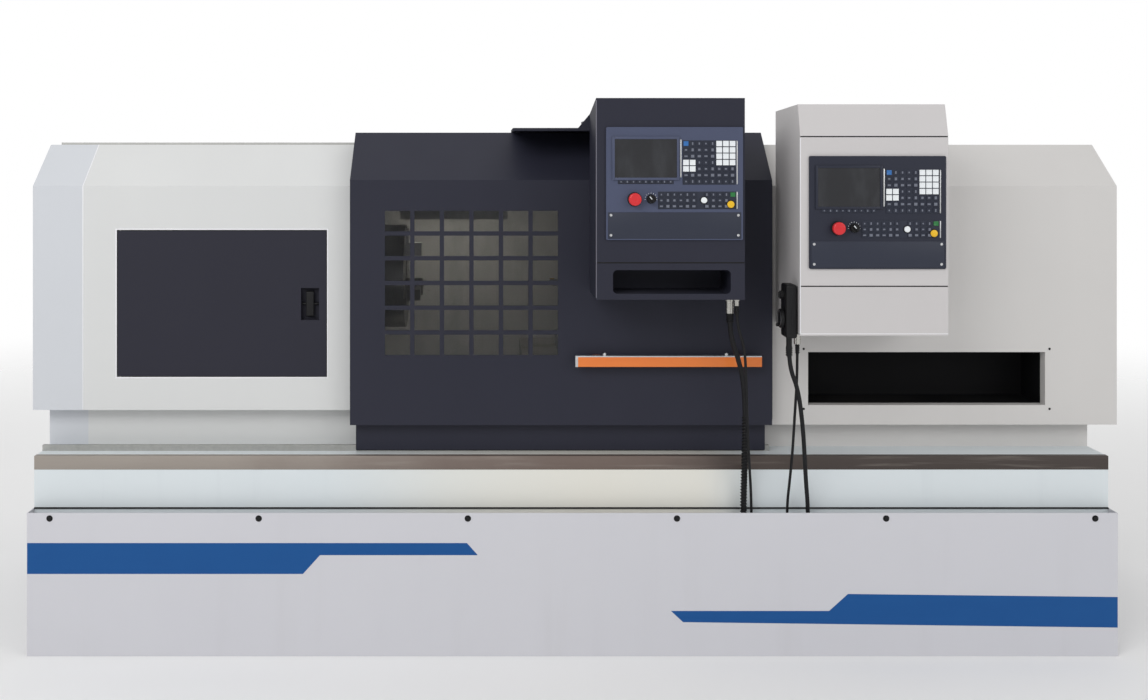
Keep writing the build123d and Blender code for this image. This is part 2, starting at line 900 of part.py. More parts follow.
with BuildPart() as tailstock_handwheel:
    wheel_left = barrel_x[1] + wheel_gap
    wheel_x = (wheel_left, wheel_left + wheel_thickness)
    rod(spindle_axis, wheel_x, wheel_radius)
    rod(spindle_axis, wheel_x, wheel_radius - wheel_rim, mode=Mode.SUBTRACT)
    rod(spindle_axis, wheel_x, wheel_hub_radius)
    wheel_centre = (wheel_left + wheel_thickness / 2, *spindle_axis)
    wheel_plane = Plane(origin=wheel_centre, x_dir=(0, 1, 0), z_dir=(1, 0, 0))
    with Locations(wheel_plane):
        with PolarLocations((wheel_radius - wheel_rim / 2) / 2, wheel_spokes):
            Box(wheel_radius - wheel_rim, wheel_rim, wheel_thickness / 2)
    rod(spindle_axis, (quill_x[1] + slide_gap, wheel_left), wheel_shaft_radius)
    rod(
        (spindle_axis[0], spindle_axis[1] + wheel_radius - wheel_rim / 2),
        (wheel_x[1], wheel_x[1] + wheel_grip_length),
        wheel_grip_radius,
    )
save(tailstock_handwheel, "tailstock_handwheel")


def cover_path(bottom):
    """The (y, z) line of a cover's front from its lower edge, up the slope and back to the rear."""
    return [
        (sill_front, bottom),
        (cover_front, bottom),
        (cover_front, cover_crease),
        (cover_front + cover_slope_depth, cover_top),
        (base_rear, cover_top),
    ]


def end_wall(x, bottom):
    """The flat wall that closes the end of a cover."""
    prism([*cover_path(bottom)[1:], (base_rear, bottom)], x)


# Left end cover: the same profile as the headstock cover, closed at its left end
with BuildPart() as end_cover:
    end_right = left_end + end_cover_length
    end_sill_x = (-half_base + sheet, -half_base + 2 * sheet)
    folded(cover_path(cover_bottom), (left_end, end_right), sheet)
    end_wall((left_end, left_end + sheet), cover_bottom)
    block((end_sill_x[0], end_right), (sill_front, sill_front + sheet), (tray_top, cover_bottom + sheet))
    block((left_end, end_sill_x[1]), (sill_front, base_rear), (cover_bottom, cover_bottom + sheet))
    block(end_sill_x, (sill_front + ledge_lap, base_rear), (base_height, cover_bottom + sheet))
save(end_cover, "end_cover")

# Headstock cover: one folded sheet from the sill to the rear, with the access opening
with BuildPart() as headstock_cover:
    headstock_x = (end_right, headstock_cover_right)
    folded([(sill_front, tray_top), *cover_path(cover_bottom)], headstock_x, sheet)
    block(
        (access_left, access_right),
        (cover_front - overrun, cover_front + sheet + overrun),
        (access_bottom, access_top),
        mode=Mode.SUBTRACT,
    )
    hinge_axis = (access_left + edge_gap + access_axis_inset, cover_front + access_thickness / 2)
    lug_x = (hinge_axis[0] - hinge_lug / 2, hinge_axis[0] + hinge_lug / 2)
    lug_y = (cover_front + sheet, cover_front + sheet + hinge_lug / 2)
    for lug_z in ((access_bottom - hinge_lug, access_bottom), (access_top, access_top + hinge_lug)):
        block(lug_x, lug_y, lug_z)
        post(hinge_axis, lug_z, hinge_pin_radius + running_gap, mode=Mode.SUBTRACT)
save(headstock_cover, "headstock_cover")

with BuildPart() as access_hinge_pins:
    for pin_z in (access_bottom, access_top):
        post(hinge_axis, (pin_z - hinge_pin_length / 2, pin_z + hinge_pin_length / 2), hinge_pin_radius)
save(access_hinge_pins, "access_hinge_pins")

# Access door with its recessed pull
with BuildPart() as access_door:
    leaf_x = (access_left + edge_gap, access_right - edge_gap)
    leaf_y = (cover_front, cover_front + access_thickness)
    leaf_z = (access_bottom + edge_gap, access_top - edge_gap)
    pull_x = (leaf_x[1] - pull_inset - pull_width, leaf_x[1] - pull_inset)
    pull_z = (access_bottom + pull_rise, access_bottom + pull_rise + pull_height)
    block(leaf_x, leaf_y, leaf_z)
    block(
        (pull_x[0] - sheet, pull_x[1] + sheet),
        (cover_front, cover_front + pull_depth + sheet),
        (pull_z[0] - sheet, pull_z[1] + sheet),
    )
    block(pull_x, (cover_front - overrun, cover_front + pull_depth), pull_z, mode=Mode.SUBTRACT)
    for pin_z in (access_bottom, access_top):
        post(
            hinge_axis,
            (pin_z - hinge_pin_length / 2 - slide_gap, pin_z + hinge_pin_length / 2 + slide_gap),
            hinge_pin_radius + running_gap,
            mode=Mode.SUBTRACT,
        )
save(access_door, "access_door")

# Right cover with the chip slot, closed at its right end
with BuildPart() as right_cover:
    folded(cover_path(right_bottom), (right_cover_left, right_end), sheet)
    end_wall((right_end - sheet, right_end), right_bottom)
    right_sill_x = (half_base - 2 * sheet, half_base - sheet)
    right_floor = (right_bottom, right_bottom + sheet)
    block((right_cover_left, right_sill_x[1]), (sill_front, sill_front + sheet), (tray_top, right_floor[1]))
    block((right_sill_x[0], right_end), (sill_front, base_rear), right_floor)
    block(right_sill_x, (sill_front + ledge_lap, base_rear), (base_height, right_floor[1]))
    slot_x = (slot_left, slot_right)
    slot_z = (slot_bottom, slot_top)
    jamb_y = (cover_front, cover_front + slot_jamb)
    block(
        (slot_x[0] - sheet, slot_x[1] + sheet),
        jamb_y,
        (slot_z[0] - sheet, slot_z[1] + sheet),
    )
    block(slot_x, (jamb_y[0] - overrun, jamb_y[1] + overrun), slot_z, mode=Mode.SUBTRACT)
save(right_cover, "right_cover")

with BuildPart() as chute_liner:
    block(
        (slot_x[0] - sheet, slot_x[1] + sheet),
        (jamb_y[1], jamb_y[1] + liner_depth),
        (slot_z[0] - sheet, slot_z[1] + sheet),
    )
    block(slot_x, (jamb_y[1] - overrun, jamb_y[1] + liner_depth - sheet), slot_z, mode=Mode.SUBTRACT)
save(chute_liner, "chute_liner")

# Rear wall of the whole machine, with the roof over the work space
with BuildPart() as rear_cover:
    roof_x = (headstock_cover_right, right_cover_left)
    block((-half_base, half_base), (base_rear, rear_face), (skirt_height, cover_top))
    block((left_end, 0), (base_rear, rear_face), (cover_bottom, cover_top))
    block((0, right_end), (base_rear, rear_face), (right_bottom, cover_top))
    block(roof_x, (cover_front + cover_slope_depth, base_rear), (cover_top - sheet, cover_top))
    block(
        roof_x,
        (cover_front + cover_slope_depth, cover_front + cover_slope_depth + sheet),
        (cover_top - roof_flange, cover_top),
    )
save(rear_cover, "rear_cover")

with BuildPart() as drive_cabinet:
    block(
        (cabinet_left, cabinet_left + cabinet_width),
        (base_rear - cabinet_depth, base_rear),
        (cabinet_bottom, cabinet_bottom + cabinet_height),
    )
    fillet(drive_cabinet.edges().filter_by(Axis.Z), sheet)
save(drive_cabinet, "drive_cabinet")

# Rails for the sliding door: one on the tray's ledge, one on the roof
with BuildPart() as door_rails:
    rail_x = (rail_left, door_right)
    shoe_back = strip_front + sheet + shoe_width
    rail_middle = strip_front + sheet + shoe_width / 2
    ledge_rail_y = (rail_middle - rail_section / 2, rail_middle + rail_section / 2)
    block(rail_x, ledge_rail_y, (tray_top, tray_top + rail_height))
    roof_rail_front = cover_front + cover_slope_depth + sheet
    roof_rail_y = (roof_rail_front, roof_rail_front + rail_section)
    block(rail_x, roof_rail_y, (cover_top, cover_top + roof_rail_height))
save(door_rails, "door_rails")

# Sliding door: folded sheet with closed ends and a lattice punched for the window
with BuildPart() as sliding_door:
    door_x = (door_left, door_right)
    door_path = [
        (door_front, door_bottom),
        (door_front, door_crease),
        (door_front + door_slope_depth, door_top),
    ]
    kick_x = (door_left + kick_inset, door_right - kick_inset)
    folded(
        [
            (strip_front, door_bottom),
            *door_path,
            (door_front + door_slope_depth + door_top_lap, door_top),
        ],
        door_x,
        sheet,
    )
    block(kick_x, (strip_front, strip_front + sheet), (tray_top + door_clear, door_bottom + sheet))
    for end_x in (door_left, door_right - sheet):
        folded(door_path, (end_x, end_x + sheet), door_return)
    shoe_bottom = tray_top + rail_height + slide_gap
    block(kick_x, (strip_front + sheet, shoe_back), (shoe_bottom, shoe_bottom + shoe_height))
    column_pitch = (window_right - window_left + window_bar) / window_columns
    row_pitch = (window_top - window_bottom + window_bar) / window_rows
    with Locations(
        ((window_left + window_right) / 2, door_front + sheet / 2, (window_bottom + window_top) / 2)
    ):
        for column in range(window_columns):
            for row in range(window_rows):
                cell = (
                    (column - (window_columns - 1) / 2) * column_pitch,
                    0,
                    (row - (window_rows - 1) / 2) * row_pitch,
                )
                with Locations(cell):
                    Box(
                        column_pitch - window_bar,
                        sheet + overrun,
                        row_pitch - window_bar,
                        mode=Mode.SUBTRACT,
                    )
save(sliding_door, "sliding_door")

with BuildPart() as door_window:
    block(
        (window_left - pane_lap, window_right + pane_lap),
        (door_front + sheet, door_front + 2 * sheet),
        (window_bottom - pane_lap, window_top + pane_lap),
    )
save(door_window, "door_window")

with BuildPart() as door_handle:
    bar_back = door_front - handle_gap
    handle_z = (handle_bottom, handle_bottom + handle_height)
    block((handle_left, handle_right), (bar_back - handle_thickness, bar_back), handle_z)
    fillet(door_handle.edges().filter_by(Axis.X), handle_thickness / 4)
    for post_x in (handle_left + handle_post_inset, handle_right - handle_post_inset):
        block((post_x - handle_post / 2, post_x + handle_post / 2), (bar_back, door_front), handle_z)
save(door_handle, "door_handle")

# Arm that carries the dark console over the top of the sliding door
with BuildPart() as console_arm:
    arm_bottom = door_top + arm_clear
    arm_y = (dark_back, dark_back + arm_length)
    block((dark_left, arm_right), arm_y, (arm_bottom, arm_bottom + arm_height))
    block((arm_left, dark_left), arm_y, (arm_bottom, arm_bottom + arm_duct_height))
    block((arm_left, arm_right), (arm_y[1] - arm_foot, arm_y[1]), (cover_top, arm_bottom))
    fillet(console_arm.edges().filter_by(Axis.Y).group_by(Axis.Z)[-1], arm_duct_height / 4)
    gusset_bottom = arm_bottom + arm_duct_height / 2
    gusset_top = dark_top - dark_roof_drop
    slab(
        [
            (dark_left - gusset_reach, gusset_bottom),
            (dark_left, gusset_top),
            (dark_left + gusset_lap, gusset_top),
            (dark_left + gusset_lap, gusset_bottom),
        ],
        (dark_back, dark_back + gusset_thickness),
    )
save(console_arm, "console_arm")


def panel_hole(left, top):
    """Cut the opening behind a control panel through a console's front wall."""
    block(
        (left + panel_lap, left + panel_width - panel_lap),
        (console_front - overrun, console_front + console_wall + overrun),
        (top - panel_height + panel_lap, top - panel_lap),
        mode=Mode.SUBTRACT,
    )


def seam(x, z):
    """Cut a shallow seam across a console's front wall."""
    seam_y = (console_front - overrun, console_front + console_seam_depth)
    block(x, seam_y, (z, z + console_seam), mode=Mode.SUBTRACT)


# Dark console with its sloping roof and a document pocket below the panel
with BuildPart() as dark_console:
    dark_x = (dark_left, dark_right)
    prism(
        [
            (console_front, dark_bottom),
            (console_front, dark_top),
            (dark_back, dark_top - dark_roof_drop),
            (dark_back, dark_bottom),
        ],
        dark_x,
    )
    fillet(dark_console.edges().filter_by(Axis.X), console_wall / 2)
    prism(
        [
            (console_front + console_wall, dark_split + console_wall),
            (console_front + console_wall, dark_top - 2 * console_wall),
            (dark_back - console_wall, dark_top - dark_roof_drop - 2 * console_wall),
            (dark_back - console_wall, dark_split + console_wall),
        ],
        (dark_left + console_wall, dark_right - console_wall),
        mode=Mode.SUBTRACT,
    )
    panel_hole(dark_panel_left, dark_panel_top)
    seam(dark_x, dark_split - console_seam)
    with BuildSketch(Plane.XZ.offset(-console_front)):
        with Locations(((tray_left + tray_right) / 2, (tray_pocket_bottom + tray_pocket_top) / 2)):
            pocket_height = tray_pocket_top - tray_pocket_bottom
            RectangleRounded(tray_right - tray_left, pocket_height, tray_pocket_radius)
    extrude(amount=-tray_pocket_depth, mode=Mode.SUBTRACT)
save(dark_console, "dark_console")

# Light console with its leaning cap
with BuildPart() as light_console:
    light_x = (light_left, light_right)
    prism(
        [
            (console_front, light_bottom),
            (console_front, light_cap_seam),
            (console_front + cap_lean, light_top),
            (cover_front, light_top - cap_fall),
            (cover_front, light_bottom),
        ],
        light_x,
    )
    fillet(light_console.edges().filter_by(Axis.X).group_by(Axis.Y)[0], console_wall / 2)
    prism(
        [
            (console_front + console_wall, light_bottom + console_wall),
            (console_front + console_wall, light_cap_seam),
            (console_front + cap_lean + console_wall, light_top - cap_fall - console_wall),
            (cover_front - console_wall, light_top - cap_fall - console_wall),
            (cover_front - console_wall, light_bottom + console_wall),
        ],
        (light_left + console_wall, light_right - console_wall),
        mode=Mode.SUBTRACT,
    )
    panel_hole(light_panel_left, light_panel_top)
    seam(light_x, light_split)
    seam(light_x, light_cap_seam - console_seam)
save(light_console, "light_console")


def key_rows(left, top, width, height, columns, rows):
    """A key membrane on a panel's face, with a grid of raised keys."""
    membrane_y = panel_front - membrane
    block((left, left + width), (membrane_y, panel_front), (top - height, top))
    column_step = width / columns
    row_step = height / rows
    with BuildSketch(Plane.XZ.offset(-membrane_y)) as keys:
        with Locations((left + width / 2, top - height / 2)):
            with GridLocations(column_step, row_step, columns, rows):
                Rectangle(column_step * key_share, row_step * key_share)
    extrude(keys.sketch, amount=key_height)


# Both control panels: plate, screen, keypad, emergency button and mode knob
for console, left, top in (
    ("dark", dark_panel_left, dark_panel_top),
    ("light", light_panel_left, light_panel_top),
):
    estop_centre = (left + estop_left, top - estop_drop)
    knob_centre = (left + knob_left, top - knob_drop)

    with BuildPart() as panel:
        with BuildSketch(Plane.XZ.offset(-console_front)):
            with Locations((left + panel_width / 2, top - panel_height / 2)):
                RectangleRounded(panel_width, panel_height, panel_corner)
        extrude(amount=panel_thickness)
        screw_y = (panel_front - panel_screw_height, panel_front)
        for screw_x in (left + panel_screw_inset, left + panel_width - panel_screw_inset):
            for screw_z in (top - panel_screw_drop, top - panel_height + panel_screw_inset):
                stud((screw_x, screw_z), screw_y, panel_screw_radius)
        hole_y = (panel_front - overrun, console_front + overrun)
        stud(estop_centre, hole_y, estop_stem_radius + running_gap, mode=Mode.SUBTRACT)
        stud(knob_centre, hole_y, knob_stem_radius + running_gap, mode=Mode.SUBTRACT)
    save(panel, f"{console}_panel")

    with BuildPart() as screen:
        block(
            (left + screen_left, left + screen_left + screen_width),
            (panel_front - screen_thickness, panel_front),
            (top - screen_top - screen_height, top - screen_top),
        )
    save(screen, f"{console}_screen")

    with BuildPart() as keypad:
        key_rows(left + soft_left, top - soft_top, soft_width, soft_height, soft_columns, 1)
        key_rows(left + mdi_left, top - mdi_top, mdi_width, mdi_height, mdi_columns, mdi_rows)
        key_rows(left + ops_left, top - ops_top, ops_width, ops_height, ops_columns, ops_rows)
    save(keypad, f"{console}_keypad")

    with BuildPart() as estop:
        head_back = panel_front - estop_stand_off
        stud(estop_centre, (head_back, console_front + stem_seat), estop_stem_radius)
        stud(estop_centre, (head_back - estop_head, head_back), estop_radius)
        fillet(estop.edges().group_by(Axis.Y)[0], estop_head / 3)
    save(estop, f"{console}_estop")

    with BuildPart() as mode_knob:
        knob_back = panel_front - knob_gap
        stud(knob_centre, (knob_back, console_front + stem_seat), knob_stem_radius)
        stud(knob_centre, (knob_back - knob_height, knob_back), knob_radius)
        chamfer(mode_knob.edges().group_by(Axis.Y)[0], knob_height / 8)
    save(mode_knob, f"{console}_mode_knob")

# Hand-wheel pendant, hung on the left wall of the light console
with BuildPart() as pendant:
    pendant_x = (light_left - pendant_hook - pendant_width, light_left - pendant_hook)
    pendant_y = (pendant_front, pendant_front + pendant_depth)
    pendant_z = (pendant_bottom, pendant_bottom + pendant_height)
    pendant_middle = ((pendant_x[0] + pendant_x[1]) / 2, (pendant_y[0] + pendant_y[1]) / 2)
    wheel_axis = (pendant_middle[1], pendant_bottom + pendant_wheel_rise)
    block(pendant_x, pendant_y, pendant_z)
    fillet(pendant.edges(), pendant_corner)
    block(
        (pendant_x[1], light_left),
        (pendant_middle[1] - pendant_depth / 4, pendant_middle[1] + pendant_depth / 4),
        (pendant_z[1] - pendant_height / 2, pendant_z[1] - pendant_corner),
    )
    post(pendant_middle, (pendant_bottom - pendant_gland_length, pendant_bottom), pendant_gland_radius)
    selector_axis = (pendant_middle[1], pendant_bottom + selector_rise)
    rod(selector_axis, (pendant_x[0] - selector_height, pendant_x[0]), selector_radius)
    rod(
        wheel_axis,
        (pendant_x[0] - overrun, pendant_x[0] + pendant_stem_seat + slide_gap),
        pendant_stem_radius + running_gap,
        mode=Mode.SUBTRACT,
    )
save(pendant, "pendant")

with BuildPart() as pendant_wheel:
    dial_right = pendant_x[0] - pendant_wheel_gap
    dial_x = (dial_right - pendant_wheel_thickness, dial_right)
    rod(wheel_axis, dial_x, pendant_wheel_radius)
    chamfer(pendant_wheel.edges().filter_by(GeomType.CIRCLE), pendant_wheel_thickness / 8)
    rod(wheel_axis, (dial_right, pendant_x[0] + pendant_stem_seat), pendant_stem_radius)
    crank_axis = (wheel_axis[0], wheel_axis[1] - pendant_wheel_radius + 2 * pendant_crank_radius)
    rod(crank_axis, (dial_x[0] - pendant_crank_length, dial_x[0]), pendant_crank_radius)
save(pendant_wheel, "pendant_wheel")

# Cable routes: each point is a share of the way from the exit down to the entry box, for each axis
def cable_route(exit_point, entry_inset, shares):
    """Points from a connector down to the entry box behind the skirt."""
    entry_point = (entry_left + entry_inset, skirt_back + cable_setback, cable_exit_z)
    middle = [
        tuple(start + (end - start) * share for start, end, share in zip(exit_point, entry_point, step))
        for step in shares
    ]
    return [exit_point, *middle, entry_point]


dark_main_route = cable_route(
    (dark_right - main_inset, console_front + main_setback, dark_bottom - plug_length),
    main_entry,
    [
        (0, 0, 0.10),
        (0.45, 0.05, 0.20),
        (0.82, 0.12, 0.32),
        (0.95, 0.35, 0.52),
        (0.99, 0.72, 0.72),
        (1, 1, 0.88),
    ],
)
dark_thin_route = cable_route(
    (dark_right - thin_inset, console_front + thin_setback, dark_bottom - gland_length),
    thin_entry,
    [
        (0, 0, 0.08),
        (0.33, 0.02, 0.18),
        (0.42, 0.10, 0.34),
        (0.55, 0.32, 0.52),
        (0.75, 0.62, 0.70),
        (1, 1, 0.88),
    ],
)
pendant_route = cable_route(
    (*pendant_middle, pendant_bottom - pendant_gland_length),
    pendant_entry,
    [
        (0, 0, 0.10),
        (0.30, 0.05, 0.22),
        (0.50, 0.20, 0.40),
        (0.66, 0.45, 0.56),
        (0.84, 0.78, 0.74),
        (1, 1, 0.90),
    ],
)
light_thin_route = cable_route(
    (light_left + light_plug_inset, console_front + light_plug_setback, light_bottom - light_plug_length),
    light_entry,
    [(0, 0, 0.17), (1.6, 0.05, 0.36), (2, 0.23, 0.56), (1.6, 0.59, 0.73), (1, 1, 0.89)],
)

# Connectors under the consoles, at the start of each route
with BuildPart() as dark_connectors:
    for route, radius, length in (
        (dark_main_route, plug_radius, plug_length),
        (dark_thin_route, gland_radius, gland_length),
    ):
        post(route[0][:2], (dark_bottom - length, dark_bottom), radius)
        post(route[0][:2], (dark_bottom - length / 3, dark_bottom), radius + sheet)
save(dark_connectors, "dark_connectors")

with BuildPart() as light_connectors:
    light_exit = light_thin_route[0][:2]
    light_nut_z = (light_bottom - light_plug_length / 3, light_bottom)
    post(light_exit, (light_bottom - light_plug_length, light_bottom), light_plug_radius)
    post(light_exit, light_nut_z, light_plug_radius + sheet)
save(light_connectors, "light_connectors")


def bend_radii(route):
    """The radius of each corner of a route: as large as its two runs allow."""
    points = [Vector(*point) for point in route]
    radii = []
    for before, corner, after in zip(points, points[1:], points[2:]):
        turn = (corner - before).get_angle(after - corner)
        shorter = min((corner - before).length, (after - corner).length)
        radii.append(bend_share * shorter / tan(radians(turn / 2)))
    return radii


for name, route, radius in (
    ("dark_main_cable", dark_main_route, main_cable_radius),
    ("dark_thin_cable", dark_thin_route, thin_cable_radius),
    ("pendant_cable", pendant_route, pendant_cable_radius),
    ("light_thin_cable", light_thin_route, thin_cable_radius),
):
    with BuildPart() as cable:
        with BuildLine() as path:
            FilletPolyline(*route, radius=bend_radii(route))
        with BuildSketch(Plane(origin=path.wire() @ 0, z_dir=path.wire() % 0)):
            Circle(radius)
        sweep()
    plain_volume = pi * radius**2 * path.wire().length
    print(name, "length", round(path.wire().length), "share", round(cable.part.volume / plain_volume, 4))
    save(cable, name)
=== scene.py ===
"""Looks of an enclosed turning lathe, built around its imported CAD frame.

Everything is in metres in the CAD model's own frame: +X along the bed towards the tailstock,
+Z up, and the front of the machine faces -Y.
"""

from __future__ import annotations

import logging
import math
from dataclasses import dataclass
from enum import Enum
from typing import Any, Callable, ClassVar, Iterable, Sequence, Union

import bmesh
import bpy
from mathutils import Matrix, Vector

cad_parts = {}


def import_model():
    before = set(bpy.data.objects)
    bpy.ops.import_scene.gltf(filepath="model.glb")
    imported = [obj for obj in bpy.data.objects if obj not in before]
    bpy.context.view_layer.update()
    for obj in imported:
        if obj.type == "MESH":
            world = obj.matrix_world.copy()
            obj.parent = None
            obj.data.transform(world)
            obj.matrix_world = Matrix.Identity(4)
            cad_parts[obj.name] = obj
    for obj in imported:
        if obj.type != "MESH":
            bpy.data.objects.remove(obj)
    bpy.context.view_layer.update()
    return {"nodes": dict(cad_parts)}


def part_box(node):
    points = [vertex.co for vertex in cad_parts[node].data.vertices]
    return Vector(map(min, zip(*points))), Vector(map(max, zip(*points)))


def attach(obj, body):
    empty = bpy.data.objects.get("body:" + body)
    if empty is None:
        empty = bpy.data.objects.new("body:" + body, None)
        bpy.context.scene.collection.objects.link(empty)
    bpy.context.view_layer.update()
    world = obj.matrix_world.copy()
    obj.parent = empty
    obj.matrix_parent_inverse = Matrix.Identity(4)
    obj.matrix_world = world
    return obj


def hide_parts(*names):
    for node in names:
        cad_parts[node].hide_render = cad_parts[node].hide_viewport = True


log = logging.getLogger("lathe")

Piece = bpy.types.Object
Material = bpy.types.Material
Point = tuple[float, float, float]
Colour = tuple[float, float, float, float]
Box = tuple[float, float, float, float]
Number = Union[int, float, "Value"]

FRONT: Point = (0.0, -1.0, 0.0)
UP: Point = (0.0, 0.0, 1.0)
DOWN: Point = (0.0, 0.0, -1.0)
SAME_WAY = 0.95
SHARP_EDGE = math.radians(35)
SMOOTH_EDGE = math.radians(32)


def srgb(red: int, green: int, blue: int) -> Colour:
    """A colour read from the screen, 0 to 255, as the linear colour that a shader takes."""
    linear = [
        c / 12.92 if c <= 0.04045 else ((c + 0.055) / 1.055) ** 2.4
        for c in (red / 255, green / 255, blue / 255)
    ]
    return (linear[0], linear[1], linear[2], 1.0)


class Value:
    """A shader socket. Arithmetic on it adds Math nodes to its graph."""

    def __init__(self, graph: Graph, socket: bpy.types.NodeSocket) -> None:
        """Keep the socket and the graph that it belongs to."""
        self.graph = graph
        self.socket = socket

    def _math(self, operation: str, first: Number, second: Number) -> Value:
        """Add one Math node.

        Args:
            operation: Blender's name for the sum.
            first: the first operand.
            second: the second operand.

        Returns:
            The node's result.
        """
        return self.graph.node("ShaderNodeMath", {"operation": operation}, {0: first, 1: second})

    def __add__(self, other: Number) -> Value:
        """The sum."""
        return self._math("ADD", self, other)

    __radd__ = __add__

    def __sub__(self, other: Number) -> Value:
        """The difference."""
        return self._math("SUBTRACT", self, other)

    def __rsub__(self, other: Number) -> Value:
        """The difference, the other way round."""
        return self._math("SUBTRACT", other, self)

    def __mul__(self, other: Number) -> Value:
        """The product."""
        return self._math("MULTIPLY", self, other)

    __rmul__ = __mul__

    def step(self, low: float, high: float) -> Value:
        """A smooth step from 0 at low to 1 at high.

        Args:
            low: where the step starts; above high for a falling step.
            high: where it ends.

        Returns:
            The step's height.
        """
        if low > high:
            return 1.0 - self.step(high, low)
        settings = {"interpolation_type": "SMOOTHSTEP"}
        return self.graph.node(
            "ShaderNodeMapRange", settings, {"Value": self, "From Min": low, "From Max": high}
        )


class Graph:
    """A material under construction."""

    def __init__(self, name: str) -> None:
        """Start a material with one Principled shader."""
        self.material = bpy.data.materials.new(name)
        self.material.use_nodes = True
        self.tree = self.material.node_tree
        self.shader = self.tree.nodes["Principled BSDF"]
        self.place = self.node("ShaderNodeTexCoord", {}, {}, "Object")
        self.facing = self.node("ShaderNodeTexCoord", {}, {}, "Normal")

    def node(
        self,
        kind: str,
        settings: dict[str, Any],
        inputs: dict[Union[int, str], Any],
        output: Union[int, str] = 0,
    ) -> Value:
        """Add any node.

        Args:
            kind: the node's type.
            settings: its properties, set first.
            inputs: a value, or a Value to link, for each socket.
            output: the socket to hand back.

        Returns:
            The chosen output.
        """
        node = self.tree.nodes.new(kind)
        for key, setting in settings.items():
            setattr(node, key, setting)
        for key, value in inputs.items():
            self.feed(node.inputs[key], value)
        return Value(self, node.outputs[output])

    def feed(self, socket: bpy.types.NodeSocket, value: Any) -> None:
        """Link a Value to a socket, or set the socket's own value."""
        if isinstance(value, Value):
            self.tree.links.new(value.socket, socket)
        else:
            socket.default_value = value

    def axis(self, vector: Value, name: str) -> Value:
        """One component of a vector."""
        return self.node("ShaderNodeSeparateXYZ", {}, {0: vector}, name)

    def mix(self, factor: Number, first: Any, second: Any) -> Value:
        """Mix two colours.

        Args:
            factor: 0 for the first colour, 1 for the second.
            first: a colour or a Value.
            second: a colour or a Value.

        Returns:
            The mixed colour.
        """
        settings = {"data_type": "RGBA", "clamp_factor": True}
        return self.node("ShaderNodeMix", settings, {0: factor, 6: first, 7: second}, 2)

    def stretched(self, scale: Point) -> Value:
        """Object coordinates, scaled along each axis."""
        return self.node("ShaderNodeMapping", {}, {"Vector": self.place, "Scale": scale})

    def noise(self, scale: float, detail: float, vector: Union[Value, None] = None) -> Value:
        """Noise over the object, about 0.5 on average.

        Args:
            scale: cells for each metre.
            detail: octaves.
            vector: the coordinates, or None for plain Object coordinates.

        Returns:
            The noise, 0 to 1.
        """
        where = vector or self.place
        inputs = {"Scale": scale, "Detail": detail, "Roughness": 0.55, "Vector": where}
        return self.node("ShaderNodeTexNoise", {}, inputs)

    def bump(self, height: Value, depth: float, strength: float) -> Value:
        """A bumped normal.

        Args:
            height: the height, 0 to 1.
            depth: the height's size in metres.
            strength: how much of it shows.

        Returns:
            The normal.
        """
        return self.node(
            "ShaderNodeBump", {}, {"Height": height, "Distance": depth, "Strength": strength}
        )

    def finish(self, **inputs: Any) -> Material:
        """Set the shader's sockets, named with _ for a space, and hand back the material."""
        for key, value in inputs.items():
            self.feed(self.shader.inputs[key.replace("_", " ")], value)
        return self.material


@dataclass(frozen=True)
class Finish:
    """A surface finish. Each kind below says how its material is made."""

    made: ClassVar[dict[str, Material]] = {}
    name: str

    def material(self) -> Material:
        """The finish's material, made once and then reused."""
        if self.name not in Finish.made:
            Finish.made[self.name] = self.make(Graph(self.name))
        return Finish.made[self.name]

    def make(self, graph: Graph) -> Material:
        """Build the material."""
        raise NotImplementedError


@dataclass(frozen=True)
class PowderCoat(Finish):
    """Sprayed and baked paint on sheet metal: fine orange peel, faint hand marks, dust on top."""

    colour: Colour
    shade: Colour
    dust: Colour = srgb(150, 145, 136)
    roughness: float = 0.42
    peel: float = 0.00012
    soil: float = 0.35
    sheen: float = 0.45

    def make(self, graph: Graph) -> Material:
        """Build the material."""
        cloud = graph.noise(1.7, 3.0)
        streak = graph.noise(1.0, 4.0, graph.stretched((9.0, 9.0, 0.8)))
        specks = graph.noise(240.0, 2.0).step(0.70, 0.78)
        height = graph.axis(graph.place, "Z")
        upward = graph.axis(graph.facing, "Z").step(0.75, 0.98)
        film = upward * cloud.step(0.35, 0.75) * self.soil
        low = height.step(0.75, 0.0) * streak.step(0.5, 0.8) * (0.3 * self.soil)
        base = graph.mix(cloud * 0.7 + streak * 0.3, self.colour, self.shade)
        base = graph.mix(specks * (0.25 * self.soil), base, self.dust)
        base = graph.mix(film + low, base, self.dust)
        rough = self.roughness + 0.10 * cloud + 0.18 * film + 0.06 * streak
        peel = graph.noise(650.0, 2.0) + 0.35 * graph.noise(95.0, 1.0)
        return graph.finish(
            Base_Color=base,
            Roughness=rough,
            Normal=graph.bump(peel, self.peel, 0.55),
            Specular_IOR_Level=self.sheen,
        )


@dataclass(frozen=True)
class TrayCoat(Finish):
    """The tray's pale paint, yellowed along its middle by coolant, with faint runs."""

    colour: Colour
    shade: Colour
    cream: Colour

    def make(self, graph: Graph) -> Material:
        """Build the material."""
        cloud = graph.noise(1.5, 2.0)
        runs = graph.noise(1.0, 4.0, graph.stretched((16.0, 16.0, 1.2))).step(0.56, 0.75)
        along = graph.axis(graph.place, "X")
        aged = along.step(-0.9, -0.1) * along.step(0.65, 0.40) * (0.5 + 0.5 * cloud)
        paint = graph.mix(cloud * 0.5 + runs * 0.25, self.colour, self.shade)
        return graph.finish(
            Base_Color=graph.mix(aged, paint, self.cream),
            Roughness=0.36 + 0.08 * cloud + 0.08 * runs,
            Normal=graph.bump(graph.noise(600.0, 2.0), 0.0001, 0.5),
        )


